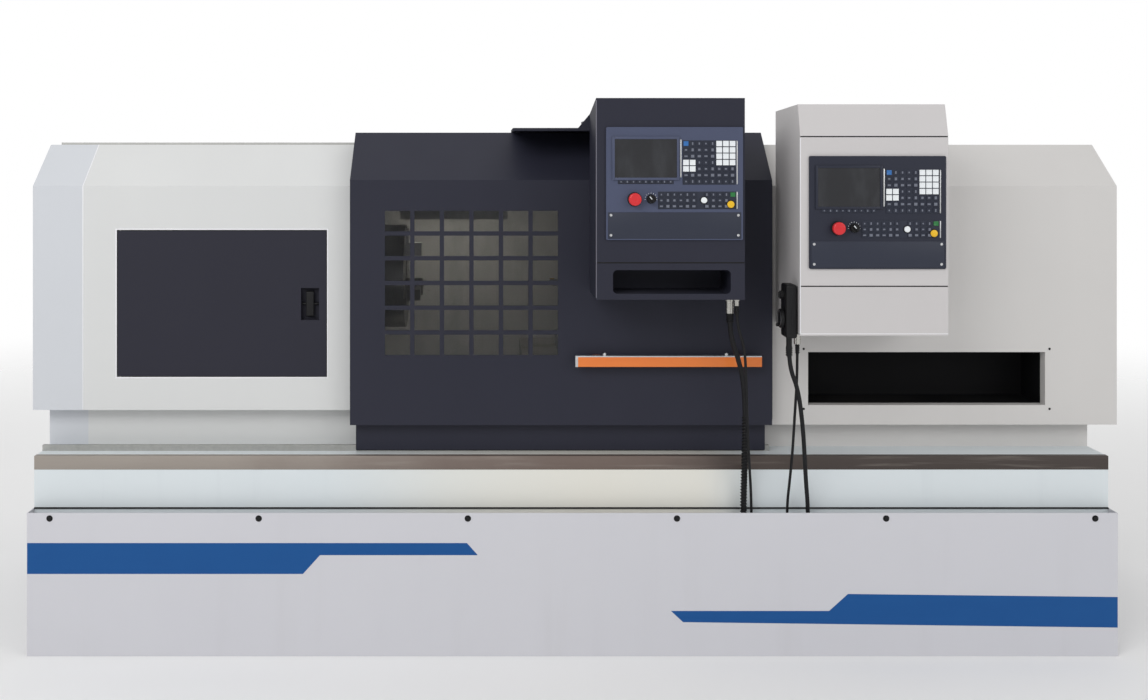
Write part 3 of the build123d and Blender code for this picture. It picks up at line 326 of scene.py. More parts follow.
@dataclass(frozen=True)
class RubbedStrip(Finish):
    """Bare steel rubbed by hands and chips; its fall from bright at the left end through brown to
    dark at the right end is partly old oil and partly a painted reflection.
    """

    bright: Colour
    brown: Colour
    dark: Colour

    def make(self, graph: Graph) -> Material:
        """Build the material."""
        rubbed = graph.noise(1.0, 4.0, graph.stretched((3.0, 60.0, 60.0)))
        stains = graph.noise(3.2, 4.0)
        along = graph.axis(graph.place, "X") + 0.8 * (stains - 0.5)
        # Bright at the left end, brown, then dark at the right end: partly old oil, partly painted
        # reflection.
        metal = graph.mix(along.step(-1.5, 0.0), self.bright, self.brown)
        metal = graph.mix(along.step(0.0, 0.9), metal, self.dark)
        metal = graph.mix(rubbed.step(0.5, 0.75) * 0.35, metal, self.bright)
        return graph.finish(
            Base_Color=metal,
            Metallic=0.25 + 0.2 * rubbed,
            Roughness=0.34 + 0.16 * stains + 0.1 * rubbed,
            Normal=graph.bump(rubbed, 0.00008, 0.4),
        )


@dataclass(frozen=True)
class Casting(Finish):
    """A painted iron casting with its machined upward faces left bright and oiled."""

    colour: Colour
    shade: Colour

    def make(self, graph: Graph) -> Material:
        """Build the material."""
        upward = graph.axis(graph.facing, "Z").step(0.9, 0.99)
        lay = graph.noise(1.0, 3.0, graph.stretched((4.0, 180.0, 180.0)))
        sand = graph.noise(420.0, 3.0)
        cloud = graph.noise(6.0, 3.0)
        paint = graph.mix(cloud, self.colour, self.shade)
        ground = graph.mix(lay, srgb(150, 150, 150), srgb(186, 184, 180))
        ground = graph.mix(cloud.step(0.5, 0.75) * 0.5, ground, srgb(96, 84, 66))
        return graph.finish(
            Base_Color=graph.mix(upward, paint, ground),
            Metallic=upward * 0.9,
            Roughness=0.55 - 0.25 * upward + 0.12 * cloud,
            Normal=graph.bump(sand * (1.0 - upward) + lay * upward * 0.3, 0.0005, 0.6),
        )


@dataclass(frozen=True)
class Steel(Finish):
    """Bare or plated steel with the fine lines of its turning or grinding along one axis."""

    colour: Colour
    shade: Colour
    lay: Point = (240.0, 14.0, 14.0)
    roughness: float = 0.26
    stain: float = 0.3

    def make(self, graph: Graph) -> Material:
        """Build the material."""
        lines = graph.noise(1.0, 3.0, graph.stretched(self.lay))
        cloud = graph.noise(11.0, 4.0)
        base = graph.mix(lines, self.colour, self.shade)
        base = graph.mix(cloud.step(0.5, 0.8) * self.stain, base, srgb(92, 82, 70))
        return graph.finish(
            Base_Color=base,
            Metallic=1.0,
            Roughness=self.roughness + 0.14 * lines + 0.16 * cloud.step(0.45, 0.8),
            Normal=graph.bump(lines, 0.00012, 0.5),
        )


@dataclass(frozen=True)
class Moulding(Finish):
    """Moulded plastic or rubber with a fine grain and slightly polished high spots."""

    colour: Colour
    shade: Colour
    roughness: float = 0.45
    grain: float = 900.0
    depth: float = 0.0001
    sheen: float = 0.3

    def make(self, graph: Graph) -> Material:
        """Build the material."""
        cloud = graph.noise(28.0, 3.0)
        grain = graph.noise(self.grain, 2.0)
        base = graph.mix(cloud * 0.7 + grain * 0.3, self.colour, self.shade)
        return graph.finish(
            Base_Color=base,
            Roughness=self.roughness + 0.14 * cloud + 0.05 * grain,
            Normal=graph.bump(grain, self.depth, 0.5),
            Specular_IOR_Level=self.sheen,
        )


@dataclass(frozen=True)
class Gloss(Finish):
    """Smooth enamel, vinyl film or polished plastic with wipe marks and a few fine scratches."""

    colour: Colour
    shade: Colour
    roughness: float = 0.22
    coat: float = 0.3
    sheen: float = 0.45

    def make(self, graph: Graph) -> Material:
        """Build the material."""
        wipes = graph.noise(1.0, 4.0, graph.stretched((7.0, 40.0, 40.0)))
        cloud = graph.noise(9.0, 3.0)
        scratch = graph.noise(1.0, 2.0, graph.stretched((30.0, 30.0, 900.0))).step(0.66, 0.72)
        base = graph.mix(cloud * 0.6 + wipes * 0.4, self.colour, self.shade)
        return graph.finish(
            Base_Color=base,
            Roughness=self.roughness + 0.12 * wipes + 0.12 * scratch,
            Coat_Weight=self.coat * (0.6 + 0.4 * cloud),
            Normal=graph.bump(cloud + scratch * 0.05, 0.00015, 0.3),
            Specular_IOR_Level=self.sheen,
        )


@dataclass(frozen=True)
class Pane(Finish):
    """Dark laminated safety glass, wiped by hand, with a film of oil mist."""

    colour: Colour
    clear: float

    def make(self, graph: Graph) -> Material:
        """Build the material."""
        wipes = graph.noise(1.0, 4.0, graph.stretched((6.0, 6.0, 2.2)))
        drops = graph.noise(160.0, 2.0).step(0.66, 0.74)
        mist = wipes.step(0.45, 0.8)
        return graph.finish(
            Base_Color=graph.mix(mist * 0.5 + drops * 0.2, self.colour, srgb(66, 68, 68)),
            Roughness=0.05 + 0.12 * mist + 0.1 * drops,
            Alpha=1.0 - self.clear + 0.14 * mist + 0.08 * drops,
            Specular_IOR_Level=0.7,
        )


@dataclass(frozen=True)
class Display(Finish):
    """A display that is switched off: near-black film under an anti-glare cover."""

    colour: Colour

    def make(self, graph: Graph) -> Material:
        """Build the material."""
        smear = graph.noise(1.0, 4.0, graph.stretched((14.0, 14.0, 5.0))).step(0.4, 0.75)
        glare = graph.noise(1400.0, 1.0)
        return graph.finish(
            Base_Color=graph.mix(smear * 0.6, self.colour, srgb(44, 47, 53)),
            Roughness=0.12 + 0.16 * smear,
            Coat_Weight=0.5 + 0.3 * smear,
            Normal=graph.bump(glare, 0.00003, 0.4),
        )


@dataclass(frozen=True)
class Glow(Finish):
    """A lit lamp cover: warm white at the middle, dimmer where dust has settled."""

    colour: Colour
    strength: float

    def make(self, graph: Graph) -> Material:
        """Build the material."""
        dust = graph.noise(60.0, 3.0).step(0.4, 0.8)
        return graph.finish(
            Base_Color=graph.mix(dust * 0.3, self.colour, srgb(190, 186, 176)),
            Roughness=0.35 + 0.2 * dust,
            Emission_Color=graph.mix(dust * 0.25, self.colour, srgb(230, 222, 205)),
            Emission_Strength=self.strength,
        )


class Paint:
    """The finishes of this machine."""

    COVER = PowderCoat("cover_white", srgb(212, 213, 212), srgb(204, 205, 205))
    END = PowderCoat("end_cover_white", srgb(203, 206, 211), srgb(198, 201, 206))
    # The cover white made darker and warmer for the right cover: painted shade.
    RIGHT = PowderCoat("right_cover_white_painted_shade", srgb(205, 203, 201), srgb(196, 194, 192))
    SKIRT = PowderCoat("skirt_grey", srgb(205, 205, 210), srgb(199, 199, 205), soil=0.2)
    CONSOLE = PowderCoat("console_white", srgb(199, 196, 196), srgb(192, 189, 189), soil=0.2)
    DOOR = PowderCoat(
        "door_dark", srgb(42, 43, 56), srgb(36, 37, 49), srgb(84, 83, 90),
        0.46, sheen=0.25,
    )
    LEAF = PowderCoat(
        "access_dark", srgb(43, 43, 54), srgb(40, 40, 50), srgb(84, 82, 88),
        0.5, sheen=0.22,
    )
    # One panel paint in two copies: this one is lightened and blued with painted reflection, for
    # the dark console's panel.
    PANEL_WITH_REFLECTION = PowderCoat(
        "panel_paint_painted_reflection", srgb(76, 83, 108), srgb(64, 70, 92), srgb(104, 108, 118),
        0.34, sheen=0.35,
    )
    # The same panel paint darkened as painted shade, for the light console's panel.
    PANEL_WITH_SHADE = PowderCoat(
        "panel_paint_painted_shade", srgb(40, 43, 57), srgb(35, 38, 51), srgb(80, 84, 94),
        0.36, sheen=0.3,
    )
    PLATE = PowderCoat(
        "plate_blue_grey", srgb(48, 52, 66), srgb(42, 46, 59), srgb(84, 88, 98),
        0.4, sheen=0.3,
    )
    # Black for the motors; on the chip slot's liner and in the louvres' gaps it is painted shade in
    # openings.
    BLACK_AND_SHADE = PowderCoat(
        "black_and_painted_shade", srgb(18, 18, 20), srgb(13, 13, 15), srgb(58, 56, 54),
        0.6, sheen=0.15,
    )
    TRAY = TrayCoat("tray_coat", srgb(218, 225, 228), srgb(206, 213, 217), srgb(228, 224, 212))
    # The ledge strip's bright left end and dark right end are partly a painted reflection.
    LEDGE = RubbedStrip("ledge_steel_with_painted_reflection", srgb(158, 150, 142), srgb(114, 100, 93), srgb(70, 62, 58))
    # Pale white for the end seam's bead; on the consoles' edges and round the access door it is a
    # painted highlight.
    EDGE_WHITE_AND_HIGHLIGHT = PowderCoat("edge_white_and_highlight", srgb(232, 232, 234), srgb(224, 224, 228), soil=0.1)
    # Light grey on the dark console's folded edge: a painted highlight.
    FOLD_HIGHLIGHT = PowderCoat("fold_painted_highlight", srgb(112, 110, 120), srgb(96, 95, 106), soil=0.1)
    CARBIDE = Steel(
        "carbide_gold", srgb(206, 168, 84), srgb(184, 146, 66), (90.0, 90.0, 90.0), 0.3, 0.1
    )
    IRON = Casting("casting_grey", srgb(112, 120, 122), srgb(98, 106, 108))
    GROUND = Steel("ground_bar", srgb(176, 176, 176), srgb(150, 150, 152))
    ZINC = Steel(
        "zinc_plate", srgb(196, 196, 192), srgb(172, 172, 170), (60.0, 60.0, 60.0), 0.3, 0.15
    )
    TRIM = Steel(
        "trim_aluminium", srgb(214, 215, 216), srgb(198, 199, 201), (3.0, 200.0, 200.0), 0.3, 0.05
    )
    PLUG = Steel(
        "plug_nickel", srgb(214, 212, 206), srgb(190, 188, 182), (30.0, 30.0, 400.0), 0.18, 0.1
    )
    ORANGE = Gloss("handle_orange", srgb(232, 128, 52), srgb(220, 114, 44), 0.3, 0.35)
    BLUE = Gloss("stripe_blue", srgb(22, 82, 144), srgb(18, 76, 138), 0.44, 0.05, 0.2)
    RED = Gloss("stop_red", srgb(214, 40, 46), srgb(196, 30, 38), 0.26, 0.3)
    YELLOW = Gloss("button_yellow", srgb(236, 190, 30), srgb(222, 172, 20), 0.3, 0.3)
    GREEN = Gloss("key_green", srgb(34, 120, 58), srgb(28, 104, 50), 0.35, 0.2)
    KEY_BLUE = Gloss("key_blue", srgb(44, 108, 176), srgb(36, 96, 160), 0.38, 0.2)
    KEY_WHITE = Moulding("key_white", srgb(232, 236, 238), srgb(222, 226, 230), 0.42)
    KEY_DARK = Moulding("key_dark", srgb(44, 48, 62), srgb(38, 42, 55), 0.48)
    MARK = Moulding("key_mark", srgb(112, 116, 128), srgb(102, 106, 118), 0.5)
    PLASTIC = Moulding("black_moulding", srgb(17, 17, 19), srgb(12, 12, 14), 0.42)
    RUBBER = Moulding("soft_rubber", srgb(24, 24, 24), srgb(17, 17, 17), 0.62, 500.0, 0.0002)
    SHEATH = Moulding("cable_sheath", srgb(19, 19, 22), srgb(13, 13, 16), 0.5, 700.0)
    GLASS = Pane("safety_glass", srgb(18, 19, 21), 0.74)
    SCREEN = Display("screen_off", srgb(24, 25, 30))
    LAMP = Glow("lamp_cover", srgb(255, 248, 234), 12.0)


class Spin(Enum):
    """The axis that a round piece is turned about, as the rotation that lays Z along it."""

    X = (0.0, math.pi / 2, 0.0)
    Y = (math.pi / 2, 0.0, 0.0)
    Z = (0.0, 0.0, 0.0)

    @property
    def head(self) -> Point:
        """The way that the head of a screw along this axis faces."""
        return {Spin.X: (1.0, 0.0, 0.0), Spin.Y: FRONT, Spin.Z: UP}[self]


class Bench:
    """Models new pieces with Blender's own operators, as by hand."""

    @staticmethod
    def clear() -> None:
        """Go to object mode with nothing selected."""
        if bpy.context.object and bpy.context.object.mode != "OBJECT":
            bpy.ops.object.mode_set(mode="OBJECT")
        bpy.ops.object.select_all(action="DESELECT")

    @classmethod
    def pick(cls, piece: Piece) -> None:
        """Make one piece the only selected and active object."""
        cls.clear()
        piece.select_set(True)
        bpy.context.view_layer.objects.active = piece

    @classmethod
    def settle(cls, edge: float = 0.0, steps: int = 2) -> Piece:
        """Put the active object's place into its mesh, and round its edges if edge isn't zero."""
        bpy.ops.object.transform_apply(location=True, rotation=True, scale=True)
        piece = bpy.context.object
        return cls.soften(piece, edge, steps) if edge else piece

    @classmethod
    def block(
        cls, low: Sequence[float], high: Sequence[float], edge: float = 0.0, steps: int = 2
    ) -> Piece:
        """A box between two corners.

        Args:
            low: its lowest corner.
            high: its highest corner.
            edge: the width of its edges' rounding, or zero for none yet.
            steps: the rounding's steps.

        Returns:
            The box, with its place in its mesh.
        """
        cls.clear()
        size = [b - a for a, b in zip(low, high)]
        centre = [(a + b) / 2 for a, b in zip(low, high)]
        bpy.ops.mesh.primitive_cube_add(size=1.0, location=centre, scale=size)
        return cls.settle(edge, steps)

    @classmethod
    def drum(
        cls,
        centre: Sequence[float],
        spin: Spin,
        radius: float,
        length: float,
        sides: int,
        edge: float = 0.0,
        steps: int = 2,
    ) -> Piece:
        """A round bar.

        Args:
            centre: its middle.
            spin: the axis that it lies along.
            radius: its radius.
            length: its length.
            sides: how many faces go round it.
            edge: the width of its edges' rounding, or zero for none yet.
            steps: the rounding's steps.

        Returns:
            The bar, with its place in its mesh.
        """
        cls.clear()
        bpy.ops.mesh.primitive_cylinder_add(
            vertices=sides, radius=radius, depth=length, location=centre, rotation=spin.value
        )
        return cls.settle(edge, steps)

    @classmethod
    def stud(
        cls,
        centre: Sequence[float],
        spin: Spin,
        size: tuple[float, float, int],
        socket: tuple[float, float],
        edge: float,
        steps: int = 2,
    ) -> Piece:
        """A round head with a sunk middle, such as a screw's.

        Args:
            centre: its middle.
            spin: the axis that it lies along.
            size: its radius, its length and the faces that go round it.
            socket: the width of its rim and the depth of its middle, negative for a raised one.
            edge: the width of its edges' rounding.
            steps: the rounding's steps.

        Returns:
            The head, with its place in its mesh.
        """
        return cls.soften(cls.sink(cls.drum(centre, spin, *size), spin.head, *socket), edge, steps)

    @classmethod
    def ring(
        cls, centre: Sequence[float], spin: Spin, radius: float, thickness: float, height: float
    ) -> Piece:
        """A rounded ring.

        Args:
            centre: its middle.
            spin: its axis.
            radius: the radius at the middle of its section.
            thickness: the section's width.
            height: the section's height along the axis.

        Returns:
            The ring, with its place in its mesh.
        """
        cls.clear()
        bpy.ops.mesh.primitive_torus_add(
            major_radius=radius,
            minor_radius=thickness / 2,
            major_segments=40,
            minor_segments=10,
            location=centre,
            rotation=spin.value,
        )
        bpy.context.object.scale = (1.0, 1.0, height / thickness)
        return cls.settle()

    @classmethod
    def outline(cls, points: Sequence[Point], push: Point) -> Piece:
        """A flat outline pushed out into a solid.

        Args:
            points: the outline's corners, in order.
            push: how far and which way it is extruded.

        Returns:
            The solid, with its place in its mesh.
        """
        cls.clear()
        bpy.ops.mesh.primitive_circle_add(vertices=len(points), fill_type="NGON")
        piece = bpy.context.object
        for vertex, point in zip(piece.data.vertices, points):
            vertex.co = point
        bpy.ops.object.mode_set(mode="EDIT")
        bpy.ops.mesh.select_all(action="SELECT")
        bpy.ops.mesh.extrude_region_move(TRANSFORM_OT_translate={"value": push})
        bpy.ops.mesh.select_all(action="SELECT")
        bpy.ops.mesh.normals_make_consistent(inside=False)
        cls.clear()
        return piece

    @classmethod
    def choose(cls, piece: Piece, facing: Point) -> None:
        """Enter edit mode with only the faces that face one way selected.

        Args:
            piece: the piece to edit.
            facing: the direction of the faces.
        """
        cls.pick(piece)
        bpy.ops.object.mode_set(mode="EDIT")
        bpy.ops.mesh.select_mode(type="FACE")
        bpy.ops.mesh.select_all(action="DESELECT")
        shape = bmesh.from_edit_mesh(piece.data)
        for face in shape.faces:
            face.select_set(face.normal.dot(Vector(facing)) > SAME_WAY)
        bmesh.update_edit_mesh(piece.data)

    @classmethod
    def sink(
        cls, piece: Piece, facing: Point, margin: float, depth: float
    ) -> Piece:
        """Inset the faces that face one way and push the middle in, or out for a negative depth.

        Args:
            piece: the piece to edit.
            facing: the direction of the faces.
            margin: the width of the rim that is left.
            depth: how far the middle goes in.

        Returns:
            The same piece.
        """
        cls.choose(piece, facing)
        bpy.ops.mesh.inset(thickness=margin, depth=0.0)
        push = tuple(-depth * c for c in facing)
        bpy.ops.mesh.extrude_region_move(TRANSFORM_OT_translate={"value": push})
        cls.clear()
        return piece

    @classmethod
    def taper(cls, piece: Piece, facing: Point, share: float) -> Piece:
        """Shrink the faces that face one way about their middle.

        Args:
            piece: the piece to edit.
            facing: the direction of the faces.
            share: the size that is left.

        Returns:
            The same piece.
        """
        cls.choose(piece, facing)
        bpy.ops.transform.resize(value=(share, share, share))
        cls.clear()
        return piece

    @classmethod
    def soften(cls, piece: Piece, width: float, segments: int = 2) -> Piece:
        """Round a piece's sharp edges with a Bevel modifier, applied.

        Args:
            piece: the piece to round.
            width: the width of the rounding.
            segments: its steps.

        Returns:
            The same piece.
        """
        cls.pick(piece)
        bevel = piece.modifiers.new("edges", "BEVEL")
        bevel.width = width
        bevel.segments = segments
        bevel.limit_method = "ANGLE"
        bevel.angle_limit = SHARP_EDGE
        bpy.ops.object.modifier_apply(modifier=bevel.name)
        return piece

    @classmethod
    def turn(
        cls, piece: Piece, angle: float, axis: str, centre: Point
    ) -> Piece:
        """Turn a piece about a point.

        Args:
            piece: the piece to turn.
            angle: the angle in degrees, by the right-hand rule.
            axis: X, Y or Z.
            centre: the point that stays.

        Returns:
            The same piece, with its place in its mesh.
        """
        cls.pick(piece)
        angle = -math.radians(angle)
        bpy.ops.transform.rotate(value=angle, orient_axis=axis, center_override=centre)
        bpy.ops.object.transform_apply(location=True, rotation=True, scale=True)
        return piece

    @classmethod
    def copies(cls, piece: Piece, moves: Iterable[Point]) -> list[Piece]:
        """Copies of a piece, each with its own mesh, and the piece itself taken away.

        Args:
            piece: the pattern.
            moves: how far each copy is moved.

        Returns:
            The copies.
        """
        made = []
        for move in moves:
            cls.pick(piece)
            bpy.ops.object.duplicate(linked=False)
            copy = bpy.context.object
            copy.location = move
            bpy.ops.object.transform_apply(location=True, rotation=True, scale=True)
            made.append(copy)
        bpy.data.objects.remove(piece)
        return made

    @classmethod
    def join(cls, parts: Sequence[Piece]) -> Piece:
        """Join several parts into one piece."""
        cls.clear()
        for part in parts:
            part.select_set(True)
        bpy.context.view_layer.objects.active = parts[0]
        if len(parts) > 1:
            bpy.ops.object.join()
        return bpy.context.object

    @classmethod
    def fit(
        cls, piece: Piece, name: str, body: str, finish: Finish, slot: str
    ) -> Piece:
        """Name, shade, paint and mount a finished piece.

        Args:
            piece: the piece.
            name: its name.
            body: the CAD body that it moves with.
            finish: its finish.
            slot: not used.

        Returns:
            The same piece.
        """
        cls.pick(piece)
        bpy.ops.object.shade_smooth_by_angle(angle=SMOOTH_EDGE)
        piece.name = name
        piece.data.name = name
        piece.data.materials.clear()
        piece.data.materials.append(finish.material())
        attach(piece, body)
        log.info("%s rides on %s, %d faces", name, body, len(piece.data.polygons))
        cls.clear()
        return piece


@dataclass
class Studio:
    """The floor, the soft light and the camera at the photograph's angle."""

    eye: Point = (-0.272, -4.855, 1.65)
    lens: float = 39.92
    shift: tuple[float, float] = (0.0732, -0.169)
    sensor: float = 36.0
    ambient: float = 0.55
    floor_reach: float = 9.0
    floor_fade: float = 2.3
    lamps: tuple[tuple[str, Point, Point, tuple[float, float], float], ...] = (
        ("key_lamp", (-3.2, -5.5, 4.6), (0.0, 0.0, 0.9), (4.0, 3.0), 178.0),
        ("fill_lamp", (4.2, -4.6, 3.2), (0.3, 0.0, 0.9), (3.0, 3.0), 62.0),
        ("top_lamp", (0.0, 0.2, 5.2), (0.0, 0.0, 1.0), (6.0, 3.0), 42.0),
        ("rear_lamp", (0.0, 5.5, 3.8), (0.0, 0.0, 0.9), (5.0, 2.5), 90.0),
    )

    def camera(self) -> None:
        """Put the camera level in front of the machine, with the photograph's shift."""
        data = bpy.data.cameras.new("photo_camera")
        data.lens = self.lens
        data.sensor_width = self.sensor
        data.shift_x, data.shift_y = self.shift
        camera = bpy.data.objects.new("photo_camera", data)
        camera.location = self.eye
        camera.rotation_euler = (math.pi / 2, 0.0, 0.0)
        bpy.context.scene.collection.objects.link(camera)
        bpy.context.scene.camera = camera

    def floor(self) -> None:
        """Lay the pale floor, which fades into the white behind it away from the machine."""
        Bench.clear()
        bpy.ops.mesh.primitive_circle_add(
            vertices=96, radius=self.floor_reach, fill_type="NGON", location=(0.0, 0.0, -0.0005)
        )
        plane = bpy.context.object
        plane.name = "floor"
        graph = Graph("floor_pale")
        cloud = graph.noise(0.8, 2.0)
        graph.finish(
            Base_Color=graph.mix(cloud, (0.89, 0.89, 0.89, 1.0), (0.87, 0.87, 0.872, 1.0)),
            Roughness=0.75 + 0.1 * cloud,
        )
        settings = {"operation": "LENGTH"}
        away = graph.node("ShaderNodeVectorMath", settings, {0: graph.place}, "Value")
        fade = away.step(self.floor_fade, self.floor_reach - 0.5)
        seen = graph.node("ShaderNodeLightPath", {}, {}, "Is Camera Ray")
        clear = graph.node("ShaderNodeBsdfTransparent", {}, {})
        shader = Value(graph, graph.shader.outputs[0])
        mixed = graph.node("ShaderNodeMixShader", {}, {0: fade * seen, 1: shader, 2: clear})
        output = graph.tree.nodes["Material Output"]
        graph.feed(output.inputs["Surface"], mixed)
        plane.data.materials.append(graph.material)

    def lamp(
        self, name: str, place: Point, aim: Point, size: tuple[float, float], watts: float
    ) -> None:
        """Hang one soft lamp.

        Args:
            name: its name.
            place: where it hangs.
            aim: the point that it faces.
            size: its width and height.
            watts: its power.
        """
        data = bpy.data.lights.new(name, "AREA")
        data.shape = "RECTANGLE"
        data.size, data.size_y = size
        data.energy = watts
        lamp = bpy.data.objects.new(name, data)
        lamp.location = place
        way = Vector(aim) - Vector(place)
        lamp.rotation_euler = way.to_track_quat("-Z", "Y").to_euler()
        bpy.context.scene.collection.objects.link(lamp)

    def light(self) -> None:
        """Set the world's even light and four soft lamps."""
        world = bpy.data.worlds.new("studio")
        bpy.context.scene.world = world
        world.use_nodes = True
        nodes, links = world.node_tree.nodes, world.node_tree.links
        background = nodes["Background"]
        path = nodes.new("ShaderNodeLightPath")
        seen = nodes.new("ShaderNodeMath")
        seen.operation = "MAXIMUM"
        strength = nodes.new("ShaderNodeMapRange")
        strength.inputs["To Min"].default_value = self.ambient
        strength.inputs["To Max"].default_value = 1.0
        background.inputs["Color"].default_value = (1.0, 1.0, 1.0, 1.0)
        links.new(path.outputs["Is Camera Ray"], seen.inputs[0])
        links.new(path.outputs["Is Transmission Ray"], seen.inputs[1])
        links.new(seen.outputs[0], strength.inputs["Value"])
        links.new(strength.outputs[0], background.inputs["Strength"])
        for row in self.lamps:
            self.lamp(*row)

    def build(self) -> None:
        """Set the whole stage."""
        bpy.context.scene.view_settings.view_transform = "Standard"
        self.camera()
        self.floor()
        self.light()


@dataclass(frozen=True)
class Lead:
    """One cable: its node, its diameter, its material slot and its route's control points."""

    node: str
    diameter: float
    slot: str
    route: tuple[Point, ...]


@dataclass
class CableLoom:
    """The four cables that hang from the consoles into the base."""

    wrap_turn: float = 0.0105
    wrap_wire: float = 0.0026
    wrap_top: float = 0.80
    wrapped: str = "dark_main_cable"
    leads: tuple[Lead, ...] = (
        Lead("dark_main_cable", 0.016, "grey_rubber", (
            (0.5110, -0.7000, 1.1370), (0.5110, -0.7000, 1.0653), (0.5376, -0.6962, 0.9936),
            (0.5594, -0.6909, 0.9076), (0.5671, -0.6734, 0.7642), (0.5694, -0.6453, 0.6208),
            (0.5700, -0.6240, 0.5060), (0.5700, -0.6240, 0.4200),
        )),
        Lead("dark_thin_cable", 0.009, "black_rubber", (
            (0.5160, -0.7900, 1.1720), (0.5160, -0.7900, 1.1118), (0.5427, -0.7867, 1.0366),
            (0.5500, -0.7734, 0.9163), (0.5606, -0.7369, 0.7810), (0.5768, -0.6871, 0.6456),
            (0.5970, -0.6240, 0.5102), (0.5970, -0.6240, 0.4200),
        )),
        Lead("pendant_cable", 0.014, "black_rubber", (
            (0.6830, -0.7900, 1.0420), (0.6830, -0.7900, 0.9798), (0.7136, -0.7817, 0.9052),
            (0.7340, -0.7568, 0.7932), (0.7503, -0.7153, 0.6937), (0.7687, -0.6605, 0.5817),
            (0.7850, -0.6240, 0.4822), (0.7850, -0.6240, 0.4200),
        )),
        Lead("light_thin_cable", 0.009, "grey_rubber", (
            (0.7190, -0.7500, 1.0440), (0.7190, -0.7500, 0.9379), (0.7126, -0.7437, 0.8194),
            (0.7110, -0.7210, 0.6946), (0.7126, -0.6757, 0.5885), (0.7150, -0.6240, 0.4886),
            (0.7150, -0.6240, 0.4200),
        )),
    )

    @staticmethod
    def curve(name: str, points: Sequence[Point], radius: float) -> Piece:
        """A smooth round cable through a route's control points.

        Args:
            name: the curve's name.
            points: its control points.
            radius: its radius, or zero for a bare line.

        Returns:
            The curve.
        """
        data = bpy.data.curves.new(name, "CURVE")
        data.dimensions = "3D"
        data.bevel_depth = radius
        data.bevel_resolution = 5
        data.resolution_u = 14
        data.use_fill_caps = radius > 0
        spline = data.splines.new("NURBS")
        spline.points.add(len(points) - 1)
        for point, place in zip(spline.points, points):
            point.co = (*place, 1.0)
        spline.order_u = 3
        spline.use_endpoint_u = True
        piece = bpy.data.objects.new(name, data)
        bpy.context.scene.collection.objects.link(piece)
        return piece

    def line(self, points: Sequence[Point]) -> list[Vector]:
        """Points read from a route's own spline, from its top.

        Args:
            points: the route's control points.

        Returns:
            The points along the smooth line.
        """
        bare = self.curve("bare_line", points, 0.0)
        bpy.context.view_layer.update()
        graph = bpy.context.evaluated_depsgraph_get()
        mesh = bpy.data.meshes.new_from_object(bare.evaluated_get(graph))
        found = [vertex.co.copy() for vertex in mesh.vertices]
        bpy.data.objects.remove(bare)
        bpy.data.meshes.remove(mesh)
        return found if found[0].z > found[-1].z else found[::-1]

    def wrap(self, lead: Lead) -> Piece:
        """The spiral sleeve round the lower part of a cable.

        Args:
            lead: the cable that it protects.

        Returns:
            The sleeve.
        """
        path = [point for point in self.line(lead.route) if point.z < self.wrap_top]
        lengths = [0.0]
        for before, after in zip(path, path[1:]):
            lengths.append(lengths[-1] + (after - before).length)
        reach = lead.diameter / 2 + self.wrap_wire * 0.6
        count = int(lengths[-1] / self.wrap_turn * 10)
        coil: list[Point] = []
        for index in range(count + 1):
            along = lengths[-1] * index / count
            step = max(i for i, length in enumerate(lengths) if length <= along)
            step = min(step, len(path) - 2)
            share = (along - lengths[step]) / (lengths[step + 1] - lengths[step])
            way = (path[step + 1] - path[step]).normalized()
            side = way.cross(Vector((0.0, 1.0, 0.0))).normalized()
            other = way.cross(side)
            angle = 2 * math.pi * along / self.wrap_turn
            centre = path[step].lerp(path[step + 1], share)
            coil.append(tuple(centre + reach * (math.cos(angle) * side + math.sin(angle) * other)))
        sleeve = self.curve("spiral_sleeve", coil, self.wrap_wire)
        sleeve.data.resolution_u = 1
        sleeve.data.bevel_resolution = 2
        sleeve.data.materials.append(Paint.PLASTIC.material())
        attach(sleeve, "machine")
        return sleeve

    def relief(self, lead: Lead) -> Piece:
        """The tapered strain relief where a cable leaves its connector.

        Args:
            lead: the cable.

        Returns:
            The relief.
        """
        x, y, z = lead.route[0]
        cone = Bench.drum((x, y, z - 0.016), Spin.Z, lead.diameter * 0.72, 0.032, 24)
        Bench.taper(cone, DOWN, 0.78)
        grooves = [
            Bench.ring((x, y, z - 0.006 - 0.007 * step), Spin.Z, lead.diameter * 0.68, 0.003, 0.004)
            for step in range(4)
        ]
        sleeve = Bench.join([cone, *grooves])
        return Bench.fit(sleeve, f"{lead.node}_relief", "machine", Paint.PLASTIC, "black_plastic")

    def build(self) -> None:
        """Lay every cable, with its relief and the main cable's sleeve."""
        for lead in self.leads:
            cable = self.curve(f"{lead.node}_cord", lead.route, lead.diameter / 2)
            cable.data.materials.append(Paint.SHEATH.material())
            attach(cable, "machine")
            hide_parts(lead.node)
            extras = [self.relief(lead)]
            if lead.node == self.wrapped:
                extras.append(self.wrap(lead))
            path = self.line(lead.route)
            length = sum((b - a).length for a, b in zip(path, path[1:]))
            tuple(lead.route[0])
            log.info("%s hangs %.3f m", cable.name, length)


